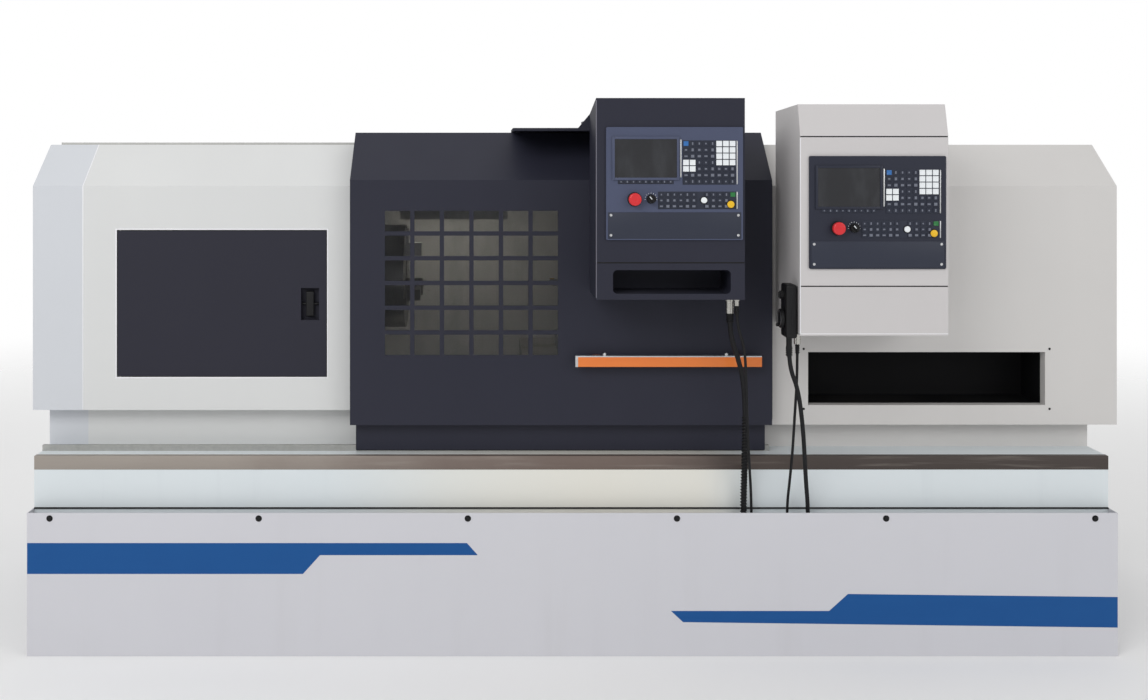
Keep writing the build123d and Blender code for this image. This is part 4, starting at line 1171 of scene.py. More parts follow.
class Coats:
    """The finish of every CAD node that shows."""

    PLAN: dict[Finish, tuple[str, ...]] = {
        Paint.COVER: ("headstock_cover", "rear_cover", "drive_cabinet", "base_frame"),
        Paint.END: ("end_cover",),
        Paint.RIGHT: ("right_cover",),
        Paint.SKIRT: ("front_skirt",),
        Paint.CONSOLE: ("light_console",),
        Paint.DOOR: ("sliding_door", "dark_console", "console_arm"),
        Paint.LEAF: ("access_door",),
        Paint.PANEL_WITH_REFLECTION: ("dark_panel",),
        Paint.PANEL_WITH_SHADE: ("light_panel",),
        Paint.TRAY: ("chip_tray", "cable_entry_box"),
        # The chute liner's black is painted shade inside the chip slot.
        Paint.BLACK_AND_SHADE: ("chute_liner", "spindle_motor", "z_servo_motor"),
        Paint.ORANGE: ("door_handle",),
        Paint.IRON: (
            "bed", "headstock_casing", "saddle", "cross_slide", "tailstock",
            "spindle_pulley", "motor_pulley", "tailstock_handwheel",
        ),
        Paint.GROUND: (
            "spindle", "spindle_bearings", "chuck_body", "chuck_jaw_1", "chuck_jaw_2",
            "chuck_jaw_3", "tool_turret", "turning_tools", "z_screw", "quill", "live_centre",
        ),
        Paint.ZINC: ("access_hinge_pins", "door_rails"),
        Paint.PLUG: ("dark_connectors", "light_connectors"),
        Paint.SCREEN: ("dark_screen", "light_screen"),
        Paint.GLASS: ("door_window",),
        Paint.KEY_DARK: ("dark_keypad", "light_keypad"),
        Paint.RED: ("dark_estop", "light_estop"),
        Paint.PLASTIC: (
            "skirt_screws", "dark_mode_knob", "light_mode_knob", "pendant", "pendant_wheel",
        ),
        Paint.RUBBER: ("drive_belt",),
        Paint.SHEATH: ("dark_main_cable", "dark_thin_cable", "pendant_cable", "light_thin_cable"),
    }

    @classmethod
    def build(cls, nodes: dict[str, Piece]) -> None:
        """Give each node its finish.

        Args:
            nodes: the CAD nodes by name.
        """
        for finish, names in cls.PLAN.items():
            for name in names:
                slots = nodes[name].data.materials
                slots.clear()
                slots.append(finish.material())
                log.info("%s is finished in %s", name, finish.name)


def border(box: Box, width: float) -> tuple[Box, Box, Box, Box]:
    """The four bars of a frame round a box.

    Args:
        box: the opening's left, first edge, right and last edge.
        width: the frame's width.

    Returns:
        The two full-height bars, then the two between them.
    """
    left, first, right, last = box
    return (
        (left - width, first - width, left, last + width),
        (right, first - width, right + width, last + width),
        (left, first - width, right, first),
        (left, last, right, last + width),
    )


class Ink(Enum):
    """The kinds of key on a keypad."""

    DARK = "dark"
    WHITE = "white"
    BLUE = "blue"
    GREEN = "green"


@dataclass(frozen=True)
class Bank:
    """A bank of keys: its left, top, right and bottom on the plate, and its keys each way."""

    box: Box
    columns: int
    rows: int
    ink: Callable[[int, int], Union[Ink, None]]

    @property
    def pitch(self) -> tuple[float, float]:
        """The width and height of one key's place."""
        left, top, right, bottom = self.box
        return (right - left) / self.columns, (bottom - top) / self.rows

    def places(self, ink: Ink) -> list[tuple[int, int]]:
        """The columns and rows of the keys of one kind, row by row."""
        cells = [(c, r) for r in range(self.rows) for c in range(self.columns)]
        return [cell for cell in cells if self.ink(*cell) is ink]


def letter_key(column: int, row: int) -> Ink:
    """The kind of each key on the letter and number bank."""
    if column == 0 and row == 0:
        return Ink.BLUE
    if (column >= 5 and row <= 3) or (column <= 1 and row in (3, 4)):
        return Ink.WHITE
    return Ink.DARK


def action_key(column: int, row: int) -> Union[Ink, None]:
    """The kind of each key on the machine bank, with gaps where the round buttons stand."""
    if column == 11:
        return Ink.GREEN if row == 0 else None
    if column in (6, 7):
        return None if row == 1 or column == 6 else Ink.DARK
    return Ink.DARK


@dataclass
class ControlPanel:
    """The dress of one control panel, in metres from the plate's left and top edges."""

    console: str
    membrane: float = 0.001
    key_rise: float = 0.002
    screen: Box = (0.027, 0.038, 0.222, 0.159)
    bezel: float = 0.008
    strips: tuple[Box, ...] = (
        (0.2320, 0.038, 0.2365, 0.160),
        (0.4090, 0.042, 0.4128, 0.181),
        (0.4090, 0.203, 0.4128, 0.258),
    )
    banks: tuple[Bank, ...] = (
        Bank((0.037, 0.165, 0.212, 0.179), 9, 1, lambda column, row: Ink.DARK),
        Bank((0.240, 0.042, 0.407, 0.181), 8, 7, letter_key),
        Bank((0.163, 0.203, 0.408, 0.258), 12, 3, action_key),
    )
    stop: tuple[float, float] = (0.089, 0.227)
    knob: tuple[float, float] = (0.141, 0.226)
    knob_turn: float = -40.0
    plate: Box = (0.006, 0.268, 0.424, 0.351)

    def __post_init__(self) -> None:
        """Find the plate's left edge, top edge and front face."""
        low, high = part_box(f"{self.console}_panel")
        self.left, self.top = low.x, high.z
        self.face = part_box(f"{self.console}_screen")[1].y
        # The dark console's panel takes the copy with painted reflection, the light console's the
        # copy with painted shade.
        self.finish = Paint.PANEL_WITH_REFLECTION if self.console == "dark" else Paint.PANEL_WITH_SHADE

    def slab(
        self, box: Sequence[float], near: float, far: float, edge: float = 0.0
    ) -> Piece:
        """A block on the plate.

        Args:
            box: its left, top, right and bottom on the plate.
            near: how far its front stands before the plate's face.
            far: how far its back stands before the face; negative goes in.
            edge: the width of its edges' rounding, or zero for none yet.

        Returns:
            The block.
        """
        left, top, right, bottom = box
        low = (self.left + left, self.face - near, self.top - bottom)
        return Bench.block(low, (self.left + right, self.face - far, self.top - top), edge)

    def fit(
        self, piece: Piece, name: str, finish: Finish, slot: str, body: str = "machine"
    ) -> Piece:
        """Mount a piece of this panel under the console's name."""
        return Bench.fit(piece, f"{self.console}_{name}", body, finish, slot)

    def frame(self) -> None:
        """The raised frame round the screen, and the pale strips beside the screen and the keys."""
        bars = [self.slab(box, 0.0042, -0.0005, 0.0007) for box in border(self.screen, self.bezel)]
        self.fit(Bench.join(bars), "screen_frame", self.finish, "panel_paint")
        strips = [Bench.taper(self.slab(box, 0.0034, 0.0), FRONT, 0.96) for box in self.strips]
        for strip in strips:
            Bench.soften(strip, 0.0006)
        self.fit(Bench.join(strips), "edge_strips", Paint.TRIM, "zinc_steel")

    def caps(self, bank: Bank, ink: Ink) -> list[Piece]:
        """The rounded keys of one kind in a bank.

        Args:
            bank: the bank.
            ink: the kind of key.

        Returns:
            The keys.
        """
        places = bank.places(ink)
        if not places:
            return []
        (left, top, _, _), (wide, high) = bank.box, bank.pitch
        share = 0.86 if ink is Ink.WHITE else 0.74
        box = (
            left + wide * (1 - share) / 2,
            top + high * (1 - share) / 2,
            left + wide * (1 + share) / 2,
            top + high * (1 + share) / 2,
        )
        key = self.slab(box, self.membrane + self.key_rise, self.membrane * 0.5)
        Bench.soften(Bench.sink(key, FRONT, 0.0011, 0.0004), 0.0008)
        return Bench.copies(key, [(c * wide, 0.0, -r * high) for c, r in places])

    def marks(self, bank: Bank) -> list[Piece]:
        """The small pale print on a bank's dark keys: a bar or a dash, never a letter.

        Args:
            bank: the bank.

        Returns:
            The marks.
        """
        (left, top, _, _), (wide, high) = bank.box, bank.pitch
        near = self.membrane + self.key_rise - 0.0003
        made = []
        for c, r in bank.places(Ink.DARK):
            tall = 0.24 + 0.10 * ((c * 5 + r * 3) % 3)
            across = 0.10 + 0.07 * ((c * 3 + r * 7) % 3)
            x, z = left + (c + 0.5) * wide, top + (r + 0.5) * high
            box = (x - wide * across, z - high * tall / 2, x + wide * across, z + high * tall / 2)
            made.append(self.slab(box, near + 0.00015, near - 0.0004))
        return made

    def keys(self) -> None:
        """All the keys, on their membranes, in place of the plain CAD keypad."""
        sheets = [self.slab(bank.box, self.membrane, 0.0, 0.0004) for bank in self.banks]
        finishes = {
            Ink.DARK: Paint.KEY_DARK,
            Ink.WHITE: Paint.KEY_WHITE,
            Ink.BLUE: Paint.KEY_BLUE,
            Ink.GREEN: Paint.GREEN,
        }
        for ink, finish in finishes.items():
            keys = [key for bank in self.banks for key in self.caps(bank, ink)]
            extra = sheets if ink is Ink.DARK else []
            piece = self.fit(Bench.join(extra + keys), f"keys_{ink.value}", finish, "key_plastic")
            if ink is Ink.DARK:
                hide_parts(f"{self.console}_keypad")
        marks = [mark for bank in self.banks for mark in self.marks(bank)]
        self.fit(Bench.join(marks), "key_marks", Paint.MARK, "key_plastic")

    def push_button(
        self, place: tuple[float, float], radius: float, name: str, finish: Finish
    ) -> None:
        """A round lit button in its black collar.

        Args:
            place: its middle on the plate.
            radius: the cap's radius.
            name: its name.
            finish: the cap's finish.
        """
        x, z = self.left + place[0], self.top - place[1]
        collar = Bench.ring((x, self.face - 0.0015, z), Spin.Y, radius + 0.0012, 0.0026, 0.0036)
        self.fit(collar, f"{name}_collar", Paint.PLASTIC, "black_plastic")
        size, crown = (radius, 0.006, 36), (radius * 0.16, -0.0009)
        cap = Bench.stud((x, self.face - 0.003, z), Spin.Y, size, crown, 0.0009, 3)
        self.fit(cap, name, finish, "key_plastic")

    def stop_button(self) -> None:
        """The collar under the emergency button, and the rim and dish of its head."""
        x, z = self.left + self.stop[0], self.top - self.stop[1]
        place, size = (x, self.face - 0.0027, z), (0.0225, 0.0054, 48)
        base = Bench.stud(place, Spin.Y, size, (0.0125, 0.0040), 0.0012, 3)
        self.fit(base, "stop_collar", Paint.PLASTIC, "black_plastic")
        body = f"{self.console}_estop"
        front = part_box(body)[0].y
        ridge = Bench.ring((x, front + 0.0102, z), Spin.Y, 0.0194, 0.0016, 0.0030)
        dish = Bench.ring((x, front + 0.0004, z), Spin.Y, 0.0085, 0.0016, 0.0012)
        self.fit(Bench.join([ridge, dish]), "stop_rim", Paint.RED, "red_plastic", body)

    def mode_knob(self) -> None:
        """The selector's grip, pointer line and scale of ticks."""
        x, z = self.left + self.knob[0], self.top - self.knob[1]
        body = f"{self.console}_mode_knob"
        low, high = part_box(body)
        y, face = low.y, self.face
        start = (x - 0.0045, y - 0.0065, z - 0.0135)
        grip = Bench.block(start, (x + 0.0045, y + 0.002, z + 0.0135))
        Bench.soften(Bench.taper(grip, FRONT, 0.82), 0.0014, 3)
        start = (x - 0.0013, y - 0.0071, z - 0.0005)
        line = Bench.block(start, (x + 0.0013, y - 0.0055, z + 0.0108), 0.0004)
        for piece in (grip, line):
            Bench.turn(piece, self.knob_turn, "Y", (x, y, z))
        self.fit(grip, "knob_grip", Paint.PLASTIC, "black_plastic", body)
        self.fit(line, "knob_pointer", Paint.KEY_WHITE, "key_plastic", body)
        skirt = Bench.ring((x, high.y - 0.0292, z), Spin.Y, 0.0140, 0.0018, 0.0022)
        self.fit(skirt, "knob_skirt", Paint.PLASTIC, "black_plastic", body)
        ticks = []
        for step in range(9):
            start = (x - 0.0006, face - 0.0004, z + 0.0168)
            tick = Bench.block(start, (x + 0.0006, face + 0.0002, z + 0.0200))
            ticks.append(Bench.turn(tick, -96.0 + 24.0 * step, "Y", (x, face, z)))
        self.fit(Bench.join(ticks), "knob_ticks", Paint.KEY_WHITE, "key_plastic")

    def lower_plate(self) -> None:
        """The bare lower plate with its seam and the sockets in its four screws."""
        plate = Bench.sink(self.slab(self.plate, 0.0012, -0.0005), FRONT, 0.0016, -0.0004)
        self.fit(Bench.soften(plate, 0.0006), "lower_plate", Paint.PLATE, "panel_paint")
        heads = []
        for across in (0.015, 0.415):
            for down in (0.277, 0.340):
                place = (self.left + across, self.face - 0.0016, self.top - down)
                size, socket = (0.0042, 0.0030, 24), (0.0013, 0.0007)
                heads.append(Bench.stud(place, Spin.Y, size, socket, 0.0006))
        self.fit(Bench.join(heads), "plate_screws", Paint.TRIM, "zinc_steel")

    def build(self) -> None:
        """Dress the whole panel."""
        self.frame()
        self.keys()
        self.push_button((0.307, 0.230), 0.0095, "white_button", Paint.KEY_WHITE)
        self.push_button((0.391, 0.243), 0.0110, "yellow_button", Paint.YELLOW)
        self.stop_button()
        self.mode_knob()
        self.lower_plate()


@dataclass
class BaseDress:
    """The blue film and seam on the skirt, and the bare steel strip along the tray's ledge."""

    film: float = 0.0004
    strip_drop: float = 0.044
    strip_lap: float = 0.022
    strip_wall: float = 0.0015
    screws: int = 6
    stripes: tuple[tuple[str, tuple[tuple[float, float], ...]], ...] = (
        ("left_stripe", (
            (-1.799, 0.373), (-0.348, 0.373), (-0.312, 0.333),
            (-0.833, 0.333), (-0.889, 0.271), (-1.799, 0.271),
        )),
        ("right_stripe", (
            (0.325, 0.149), (0.847, 0.149), (0.909, 0.205),
            (1.799, 0.195), (1.799, 0.094), (0.365, 0.112),
        )),
    )

    def lay_film(self) -> None:
        """Lay both stripes of film on the skirt."""
        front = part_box("front_skirt")[0].y
        for name, corners in self.stripes:
            points = [(x, front + self.film, z) for x, z in corners]
            stripe = Bench.outline(points, (0.0, -2 * self.film, 0.0))
            Bench.soften(stripe, self.film * 0.6, 1)
            Bench.fit(stripe, name, "machine", Paint.BLUE, "blue_film")

    def ledge(self) -> None:
        """Fold the bare steel strip over the tray's front edge."""
        low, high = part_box("chip_tray")
        y, z, wall = low.y, high.z, self.strip_wall
        section = [
            (y - wall, z - self.strip_drop),
            (y - wall, z + wall),
            (y + self.strip_lap, z + wall),
            (y + self.strip_lap, z),
            (y, z),
            (y, z - self.strip_drop),
        ]
        strip = Bench.outline([(low.x, *point) for point in section], (high.x - low.x, 0.0, 0.0))
        Bench.soften(strip, 0.0006)
        Bench.fit(strip, "ledge_strip", "machine", Paint.LEDGE, "zinc_steel")

    def seam(self) -> None:
        """Lay the dark seal between skirt and tray, and the washers under the skirt's screws."""
        skirt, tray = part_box("front_skirt"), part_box("chip_tray")
        low = (tray[0].x, tray[0].y - 0.004, skirt[1].z - 0.002)
        seal = Bench.block(low, (tray[1].x, tray[0].y + 0.001, skirt[1].z + 0.003), 0.0012)
        Bench.fit(seal, "skirt_seal", "machine", Paint.RUBBER, "black_rubber")
        left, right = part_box("skirt_screws")
        step = (right.x - left.x - 0.016) / (self.screws - 1)
        place = (left.x + 0.008, skirt[0].y - 0.0006, (left.z + right.z) / 2)
        washer = Bench.ring(place, Spin.Y, 0.0092, 0.0026, 0.0018)
        washers = Bench.copies(washer, [(step * index, 0.0, 0.0) for index in range(self.screws)])
        Bench.fit(Bench.join(washers), "skirt_washers", "machine", Paint.PLASTIC, "black_plastic")

    def build(self) -> None:
        """Dress the base."""
        self.lay_film()
        self.ledge()
        self.seam()


@dataclass
class DoorDress:
    """The trim on the sliding door's handle and the rubber lips of the door."""

    clips: tuple[float, ...] = (0.111, 0.518)
    lip_span: tuple[float, float] = (0.760, 1.555)

    def handle(self) -> None:
        """Put the aluminium edge and end on the handle, with its clips."""
        low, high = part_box("door_handle")
        left, front, back = low.x - 0.002, low.y - 0.0008, low.y + 0.020
        parts = [
            Bench.block((left, front, high.z - 0.001), (high.x, back, high.z + 0.0032), 0.0009),
            Bench.block((left, front, low.z), (low.x + 0.007, back, high.z), 0.0009),
        ]
        for x in self.clips:
            place = (x, low.y + 0.009, high.z + 0.006)
            parts.append(Bench.stud(place, Spin.Z, (0.0065, 0.009, 20), (0.0022, 0.002), 0.0012))
        Bench.fit(Bench.join(parts), "handle_edge", "sliding_door", Paint.TRIM, "zinc_steel")

    def lips(self) -> None:
        """Hang the rubber wiper along the foot of the door and down its closing edge."""
        low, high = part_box("sliding_door")
        foot, top = self.lip_span
        parts = [
            Bench.block(
                (low.x + 0.017, low.y + 0.0415, low.z - 0.003),
                (high.x - 0.017, low.y + 0.0455, low.z + 0.012),
                0.001,
            ),
            Bench.block(
                (high.x - 0.002, low.y + 0.012, foot), (high.x + 0.004, low.y + 0.030, top), 0.0016
            ),
        ]
        Bench.fit(Bench.join(parts), "door_wiper", "sliding_door", Paint.RUBBER, "black_rubber")

    def build(self) -> None:
        """Dress the door."""
        self.handle()
        self.lips()


@dataclass
class ConsoleDress:
    """The seams of the two consoles, and the pale strips on their folded edges that are painted
    highlights.
    """

    groove: float = 0.004
    dark_seams: tuple[float, ...] = (1.312,)
    light_seams: tuple[float, ...] = (1.238, 1.709)
    light_highlight_top: float = 1.708

    def build(self) -> None:
        """Fill the seams and lay the edge strips, painted highlights on the lit folded edges."""
        plan = (("dark", self.dark_seams, Paint.FOLD_HIGHLIGHT), ("light", self.light_seams, Paint.EDGE_WHITE_AND_HIGHLIGHT))
        for console, seams, finish in plan:
            low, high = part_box(f"{console}_console")
            y = low.y
            fillers = []
            for z in seams:
                end = (high.x - 0.001, y + 0.0022, z + self.groove)
                fillers.append(Bench.block((low.x + 0.001, y + 0.0008, z), end, 0.0003, 1))
            name = f"{console}_console_seams"
            Bench.fit(Bench.join(fillers), name, "machine", Paint.RUBBER, "black_rubber")
            light = console == "light"
            # Pale strips down the left edge, and along the light console's foot: painted
            # highlights.
            top = min(high.z, self.light_highlight_top) if light else high.z - 0.006
            start = (low.x - 0.0006, y - 0.0005, low.z + 0.006)
            edges = [Bench.block(start, (low.x + 0.0022, y + 0.004, top), 0.0008)]
            if light:
                start = (low.x, y - 0.0003, low.z + 0.0052)
                edges.append(Bench.block(start, (high.x, y + 0.004, low.z + 0.0078), 0.0008))
            name = f"{console}_console_edges"
            Bench.fit(Bench.join(edges), name, "machine", finish, "white_paint")


@dataclass
class CoverDress:
    """The seam, the access door's pale rim, which is a painted highlight, its latch, and the chip
    slot's screws on the front covers.
    """

    foot: float = 0.783
    crease: float = 1.547
    slope: float = 0.180
    proud: float = 0.0007
    rim_gap: float = 0.0035
    rim_width: float = 0.0045

    def bead(self) -> None:
        """Run the pale bead down the joint of the end cover and the headstock cover."""
        x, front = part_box("headstock_cover")[0].x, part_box("end_cover")[0].y
        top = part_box("end_cover")[1].z
        line = [(front, self.foot), (front, self.crease), (front + self.slope, top)]
        outer = [(y - self.proud, z + self.proud * 0.6) for y, z in line]
        inner = [(y + 0.002, z - 0.002) for y, z in reversed(line)]
        bead = Bench.outline([(x - 0.0016, *point) for point in outer + inner], (0.0032, 0.0, 0.0))
        Bench.soften(bead, 0.0003, 1)
        Bench.fit(bead, "end_seam", "machine", Paint.EDGE_WHITE_AND_HIGHLIGHT, "white_paint")

    def rim(self) -> None:
        """Put a thin pale rim round the access door's opening: a painted highlight on the lit edges
        of the opening.
        """
        low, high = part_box("access_door")
        gap, y = self.rim_gap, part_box("end_cover")[0].y
        box = (low.x - gap, low.z - gap, high.x + gap, high.z + gap)
        bars = [
            Bench.block((a, y - self.proud, b), (c, y + 0.002, d), 0.0004)
            for a, b, c, d in border(box, self.rim_width)
        ]
        Bench.fit(Bench.join(bars), "access_rim_highlight", "machine", Paint.EDGE_WHITE_AND_HIGHLIGHT, "white_paint")

    def latch(self) -> None:
        """Put the paddle and its pivot in the access door's pull cup."""
        low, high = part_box("access_door")
        right, y, foot = high.x - 0.024, low.y, low.z + 0.191
        start = (right - 0.046, y + 0.006, foot + 0.010)
        paddle = Bench.block(start, (right - 0.018, y + 0.013, foot + 0.100))
        Bench.soften(Bench.taper(paddle, FRONT, 0.9), 0.002, 3)
        place = (right - 0.032, y + 0.016, foot + 0.055)
        pivot = Bench.drum(place, Spin.X, 0.004, 0.060, 20, 0.0008)
        latch = Bench.join([paddle, pivot])
        Bench.fit(latch, "access_latch", "access_door", Paint.PLASTIC, "black_plastic")

    def screws(self) -> None:
        """Put small dark screws at the corners of the chip slot."""
        low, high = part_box("chute_liner")
        place = (0.0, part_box("right_cover")[0].y, 0.0)
        screw = Bench.stud(place, Spin.Y, (0.004, 0.0024, 18), (0.0012, 0.0007), 0.0005)
        across, up = (low.x - 0.012, high.x + 0.012), (low.z - 0.010, high.z + 0.008)
        screws = Bench.join(Bench.copies(screw, [(x, 0.0, z) for x in across for z in up]))
        Bench.fit(screws, "slot_screws", "machine", Paint.PLASTIC, "black_plastic")

    def build(self) -> None:
        """Dress the covers."""
        self.bead()
        self.rim()
        self.latch()
        self.screws()


class Side(Enum):
    """A side of the machine, as the turn in degrees that brings its front there."""

    LEFT = -90.0
    RIGHT = 90.0
    REAR = 180.0


@dataclass
class Hatch:
    """A bolted hatch on a side or the back, with louvres pressed in it."""

    name: str
    side: Side
    face: float
    across: tuple[float, float]
    up: tuple[float, float]
    slats: Box = (0.0, 0.0, 0.0, 0.0)
    count: int = 0
    hinged: bool = False
    bolt_inset: ClassVar[float] = 0.022

    def turned(
        self, parts: Sequence[Piece], name: str, finish: Finish, slot: str
    ) -> None:
        """Join parts that were modelled at the front and turn them to the hatch's side.

        Args:
            parts: the parts.
            name: the end of the piece's name.
            finish: its finish.
            slot: its material slot.
        """
        piece = Bench.turn(Bench.join(parts), self.side.value, "Z", (0.0, 0.0, 0.0))
        Bench.fit(piece, f"{self.name}_{name}", "machine", finish, slot)

    def louvres(self, y: float) -> list[Piece]:
        """Press the louvres and mount dark strips under them, painted shade in their gaps.

        Args:
            y: where the hatch's face stands.

        Returns:
            The louvres.
        """
        a, low, b, high = self.slats
        pitch = (high - low) / self.count
        moves = [(0.0, 0.0, pitch * index) for index in range(self.count)]
        section = [(y - 0.0004, low), (y - 0.0030, low + 0.003), (y - 0.0004, low + pitch * 0.55)]
        slat = Bench.outline([(a, *point) for point in section], (b - a, 0.0, 0.0))
        made = Bench.copies(Bench.soften(slat, 0.0005), moves)
        # A black strip under each louvre: painted shade in its gap.
        start = (a + 0.004, y - 0.0008, low - pitch * 0.20)
        gap = Bench.block(start, (b - 0.004, y + 0.0005, low - 0.0003), 0.0003, 1)
        shade_strips = Bench.copies(gap, moves)
        self.turned(shade_strips, "louvre_painted_shade", Paint.BLACK_AND_SHADE, "black_paint")
        return made

    def build(self) -> None:
        """Model the hatch facing -Y, then turn it to its side."""
        (left, right), (foot, top), y = self.across, self.up, -self.face
        plate = Bench.block((left, y - 0.0012, foot), (right, y + 0.001, top))
        parts = [Bench.soften(Bench.sink(plate, FRONT, 0.010, 0.0006), 0.0005)]
        if self.count:
            parts += self.louvres(y)
        self.turned(parts, "plate", Paint.COVER, "white_paint")
        place = (0.0, y - 0.0010, 0.0)
        bolt = Bench.stud(place, Spin.Y, (0.0058, 0.0034, 18), (0.0020, 0.0012), 0.0005)
        columns = [left + self.bolt_inset, (left + right) / 2, right - self.bolt_inset]
        rows = [foot + self.bolt_inset, (foot + top) / 2, top - self.bolt_inset]
        places = [(u, 0.0, v) for u in columns for v in rows if u != columns[1] or v != rows[1]]
        bolts = Bench.copies(bolt, places)
        if self.hinged:
            for v in (foot + 0.10, (foot + top) / 2 + 0.08, top - 0.10):
                place = (left - 0.004, y + 0.001, v)
                bolts.append(Bench.drum(place, Spin.Z, 0.0045, 0.075, 18, 0.0008))
            x, z = right - 0.050, (foot + top) / 2 - 0.06
            bolts.append(Bench.ring((x, y - 0.0010, z), Spin.Y, 0.013, 0.006, 0.004))
            place = (x, y - 0.0012, z)
            bolts.append(Bench.stud(place, Spin.Y, (0.010, 0.003, 24), (0.004, 0.0012), 0.0004))
        self.turned(bolts, "bolts", Paint.ZINC, "zinc_steel")


@dataclass
class Outside:
    """The hatches on the ends and the back, and the roof's panels."""

    panels: tuple[tuple[float, float], ...] = ((-1.780, -0.760), (-0.720, 0.560), (0.600, 1.810))

    def roof(self) -> None:
        """Lay the roof's bolted panels."""
        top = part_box("rear_cover")[1].z
        heads = []
        for index, (left, right) in enumerate(self.panels):
            panel = Bench.block((left, 0.120, top - 0.001), (right, 0.800, top + 0.0012))
            Bench.soften(Bench.sink(panel, UP, 0.012, 0.0006), 0.0005)
            Bench.fit(panel, f"roof_panel_{index + 1}", "machine", Paint.COVER, "white_paint")
            for x in (left + 0.03, (left + right) / 2, right - 0.03):
                for y in (0.150, 0.770):
                    place, size = (x, y, top + 0.0018), (0.007, 0.004, 18)
                    heads.append(Bench.stud(place, Spin.Z, size, (0.0022, 0.0012), 0.0006))
        Bench.fit(Bench.join(heads), "roof_bolts", "machine", Paint.ZINC, "zinc_steel")

    def build(self) -> None:
        """Dress the ends, the back and the roof."""
        rear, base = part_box("rear_cover")[1].y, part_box("front_skirt")[1].y
        left, right = -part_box("end_cover")[0].x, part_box("right_cover")[1].x
        high, low = (0.86, 1.60), (0.08, 0.44)
        cabinet, motor = (-1.50, 0.98, -1.02, 1.18), (0.98, 0.96, 1.48, 1.24)
        tank = (-1.30, 0.16, -0.60, 0.34)
        ends = ((-0.48, 0.94, 0.04, 1.12), (0.06, 0.90, 0.50, 1.08))
        plan = (
            ("cabinet_door", Side.REAR, rear, (-1.66, -0.86), (0.90, 1.60), cabinet, 9, True),
            ("middle_hatch", Side.REAR, rear, (-0.62, 0.56), high),
            ("motor_hatch", Side.REAR, rear, (0.78, 1.68), high, motor, 12),
            ("tank_hatch", Side.REAR, base, (-1.60, -0.30), low, tank, 8),
            ("pipe_hatch", Side.REAR, base, (0.30, 1.60), low),
            ("left_hatch", Side.LEFT, left, (-0.66, 0.22), (0.86, 1.48), ends[0], 8),
            ("right_hatch", Side.RIGHT, right, (-0.22, 0.66), (0.82, 1.48), ends[1], 8),
        )
        for row in plan:
            Hatch(*row).build()
        self.roof()


@dataclass
class PendantDress:
    """The ridges, scale and crank of the pendant's wheel, and its selector."""

    ridges: int = 20

    def wheel(self, y: float) -> None:
        """Dress the wheel.

        Args:
            y: where its axis stands.
        """
        low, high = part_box("pendant_wheel")
        z, dial = high.z - 0.030, low.x + 0.010
        parts = []
        for index in range(self.ridges):
            start = (dial + 0.002, y - 0.0016, z + 0.0292)
            ridge = Bench.block(start, (dial + 0.010, y + 0.0016, z + 0.0308), 0.0006, 1)
            parts.append(Bench.turn(ridge, 360.0 / self.ridges * index, "X", (dial, y, z)))
        place = (low.x + 0.004, y, z - 0.020)
        parts.append(Bench.drum(place, Spin.X, 0.0062, 0.009, 24, 0.0024, 3))
        ridges = Bench.join(parts)
        Bench.fit(ridges, "dial_ridges", "pendant_wheel", Paint.PLASTIC, "black_plastic")
        scale = Bench.ring((dial - 0.0002, y, z), Spin.X, 0.0236, 0.0030, 0.0010)
        Bench.fit(scale, "dial_scale", "pendant_wheel", Paint.TRIM, "zinc_steel")

    def build(self) -> None:
        """Dress the pendant."""
        low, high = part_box("pendant")
        x, y, foot = low.x, (low.y + high.y) / 2, low.z
        self.wheel(y)
        start = (x - 0.004, y - 0.0035, foot + 0.154)
        grip = Bench.block(start, (x + 0.002, y + 0.0035, foot + 0.176))
        Bench.soften(Bench.taper(grip, (-1.0, 0.0, 0.0), 0.8), 0.001)
        Bench.fit(grip, "pendant_selector_grip", "machine", Paint.PLASTIC, "black_plastic")
        start = (x + 0.028, low.y - 0.0008, foot + 0.044)
        band = Bench.block(start, (x + 0.031, high.y + 0.0008, high.z - 0.014), 0.0007)
        Bench.fit(band, "pendant_seam", "machine", Paint.PLASTIC, "black_plastic")


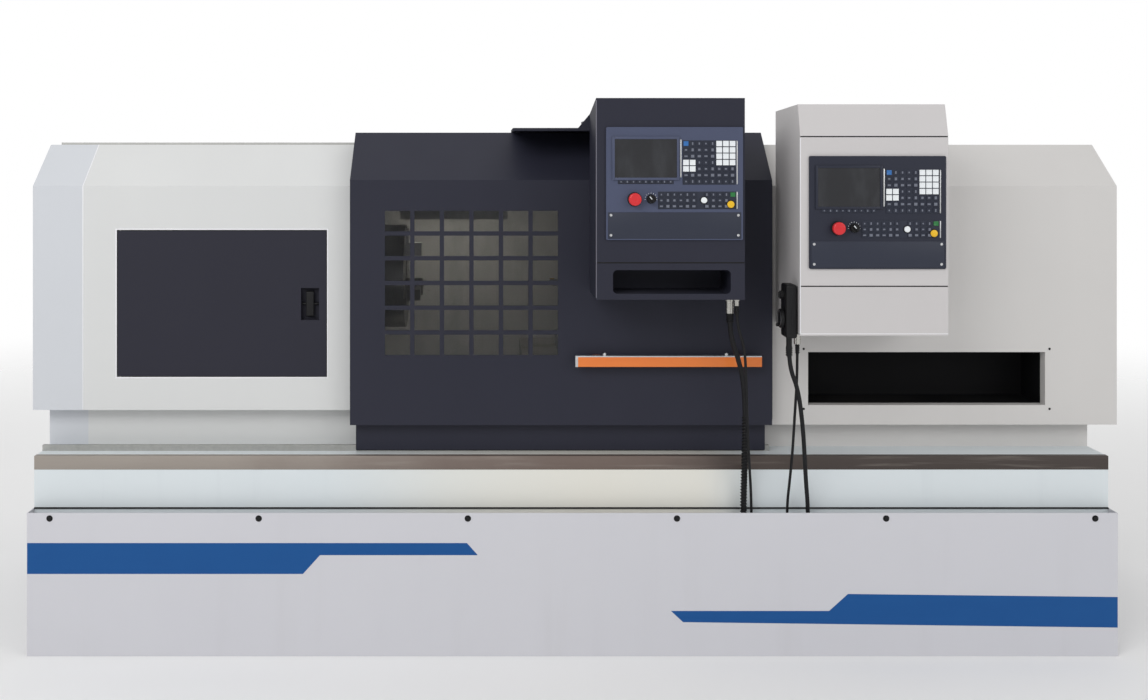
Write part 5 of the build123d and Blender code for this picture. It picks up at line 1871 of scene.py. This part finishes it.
@dataclass
class InnerDress:
    """The work light, the chuck's screws and the tools' tips inside the enclosure."""

    lamp: tuple[Point, Point] = ((-0.64, 0.36, 1.385), (-0.20, 0.44, 1.455))
    hanger_top: float = 1.686
    screw_circle: float = 0.150
    screw_lean: float = 24.0
    tip: tuple[tuple[float, float], ...] = ((0.0765, 0.1440), (0.0985, 0.1440), (0.0875, 0.1260))

    def work_light(self) -> None:
        """Hang the lit tube in its shaded tray from the roof."""
        low, high = Vector(self.lamp[0]), Vector(self.lamp[1])
        tray = Bench.block((low.x, low.y, high.z - 0.030), high)
        parts = [Bench.soften(Bench.sink(tray, DOWN, 0.004, 0.020), 0.0015)]
        start = (low.x, low.y - 0.003, low.z + 0.006)
        parts.append(Bench.block(start, (high.x, low.y + 0.001, high.z - 0.002), 0.001))
        for x in (low.x + 0.06, high.x - 0.06):
            start = (x - 0.010, high.y - 0.012, high.z - 0.004)
            parts.append(Bench.block(start, (x + 0.010, high.y - 0.008, self.hanger_top), 0.001))
        Bench.fit(Bench.join(parts), "work_light_tray", "machine", Paint.COVER, "white_paint")
        place = ((low.x + high.x) / 2, (low.y + high.y) / 2, low.z + 0.034)
        tube = Bench.drum(place, Spin.X, 0.019, high.x - low.x - 0.012, 32, 0.004, 3)
        Bench.fit(tube, "work_light_tube", "machine", Paint.LAMP, "key_plastic")

    def chuck(self) -> None:
        """Put the socket screws on the chuck's face, clear of the jaws."""
        low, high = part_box("chuck_body")
        y, z, face = (low.y + high.y) / 2, (low.z + high.z) / 2, high.x
        parts = []
        for middle in (60.0, 180.0, 300.0):
            for lean in (-self.screw_lean, self.screw_lean):
                place, size = (face, y, z + self.screw_circle), (0.011, 0.004, 24)
                screw = Bench.stud(place, Spin.X, size, (0.004, 0.003), 0.0008)
                parts.append(Bench.turn(screw, middle + lean, "X", (face, y, z)))
        Bench.fit(Bench.join(parts), "chuck_screws", "spindle", Paint.ZINC, "zinc_steel")

    def tips(self) -> None:
        """Put a coated carbide tip on each turning tool."""
        low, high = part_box("tool_turret")
        x, y = (low.x + high.x) / 2, (low.y + high.y) / 2
        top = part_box("turning_tools")[1].z
        tips = []
        for quarter in range(4):
            tip = Bench.outline([(x + a, y + b, top) for a, b in self.tip], (0.0, 0.0, 0.0042))
            Bench.soften(tip, 0.0012)
            tips.append(Bench.turn(tip, 90.0 * quarter, "Z", (x, y, top)))
        Bench.fit(Bench.join(tips), "tool_tips", "turret", Paint.CARBIDE, "ground_steel")

    def build(self) -> None:
        """Dress the inside."""
        self.work_light()
        self.chuck()
        self.tips()


def main() -> None:
    """Build the machine's looks in order."""
    logging.basicConfig(level=logging.INFO, format="%(name)s: %(message)s")
    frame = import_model()
    Studio().build()
    CableLoom().build()
    Coats.build(frame["nodes"])
    for console in ("dark", "light"):
        ControlPanel(console).build()
    for dress in (
        BaseDress, DoorDress, ConsoleDress, CoverDress, Outside, PendantDress, InnerDress
    ):
        dress().build()
        log.info("%s is done", dress.__name__)
    Bench.clear()


if __name__ == "__main__":
    main()
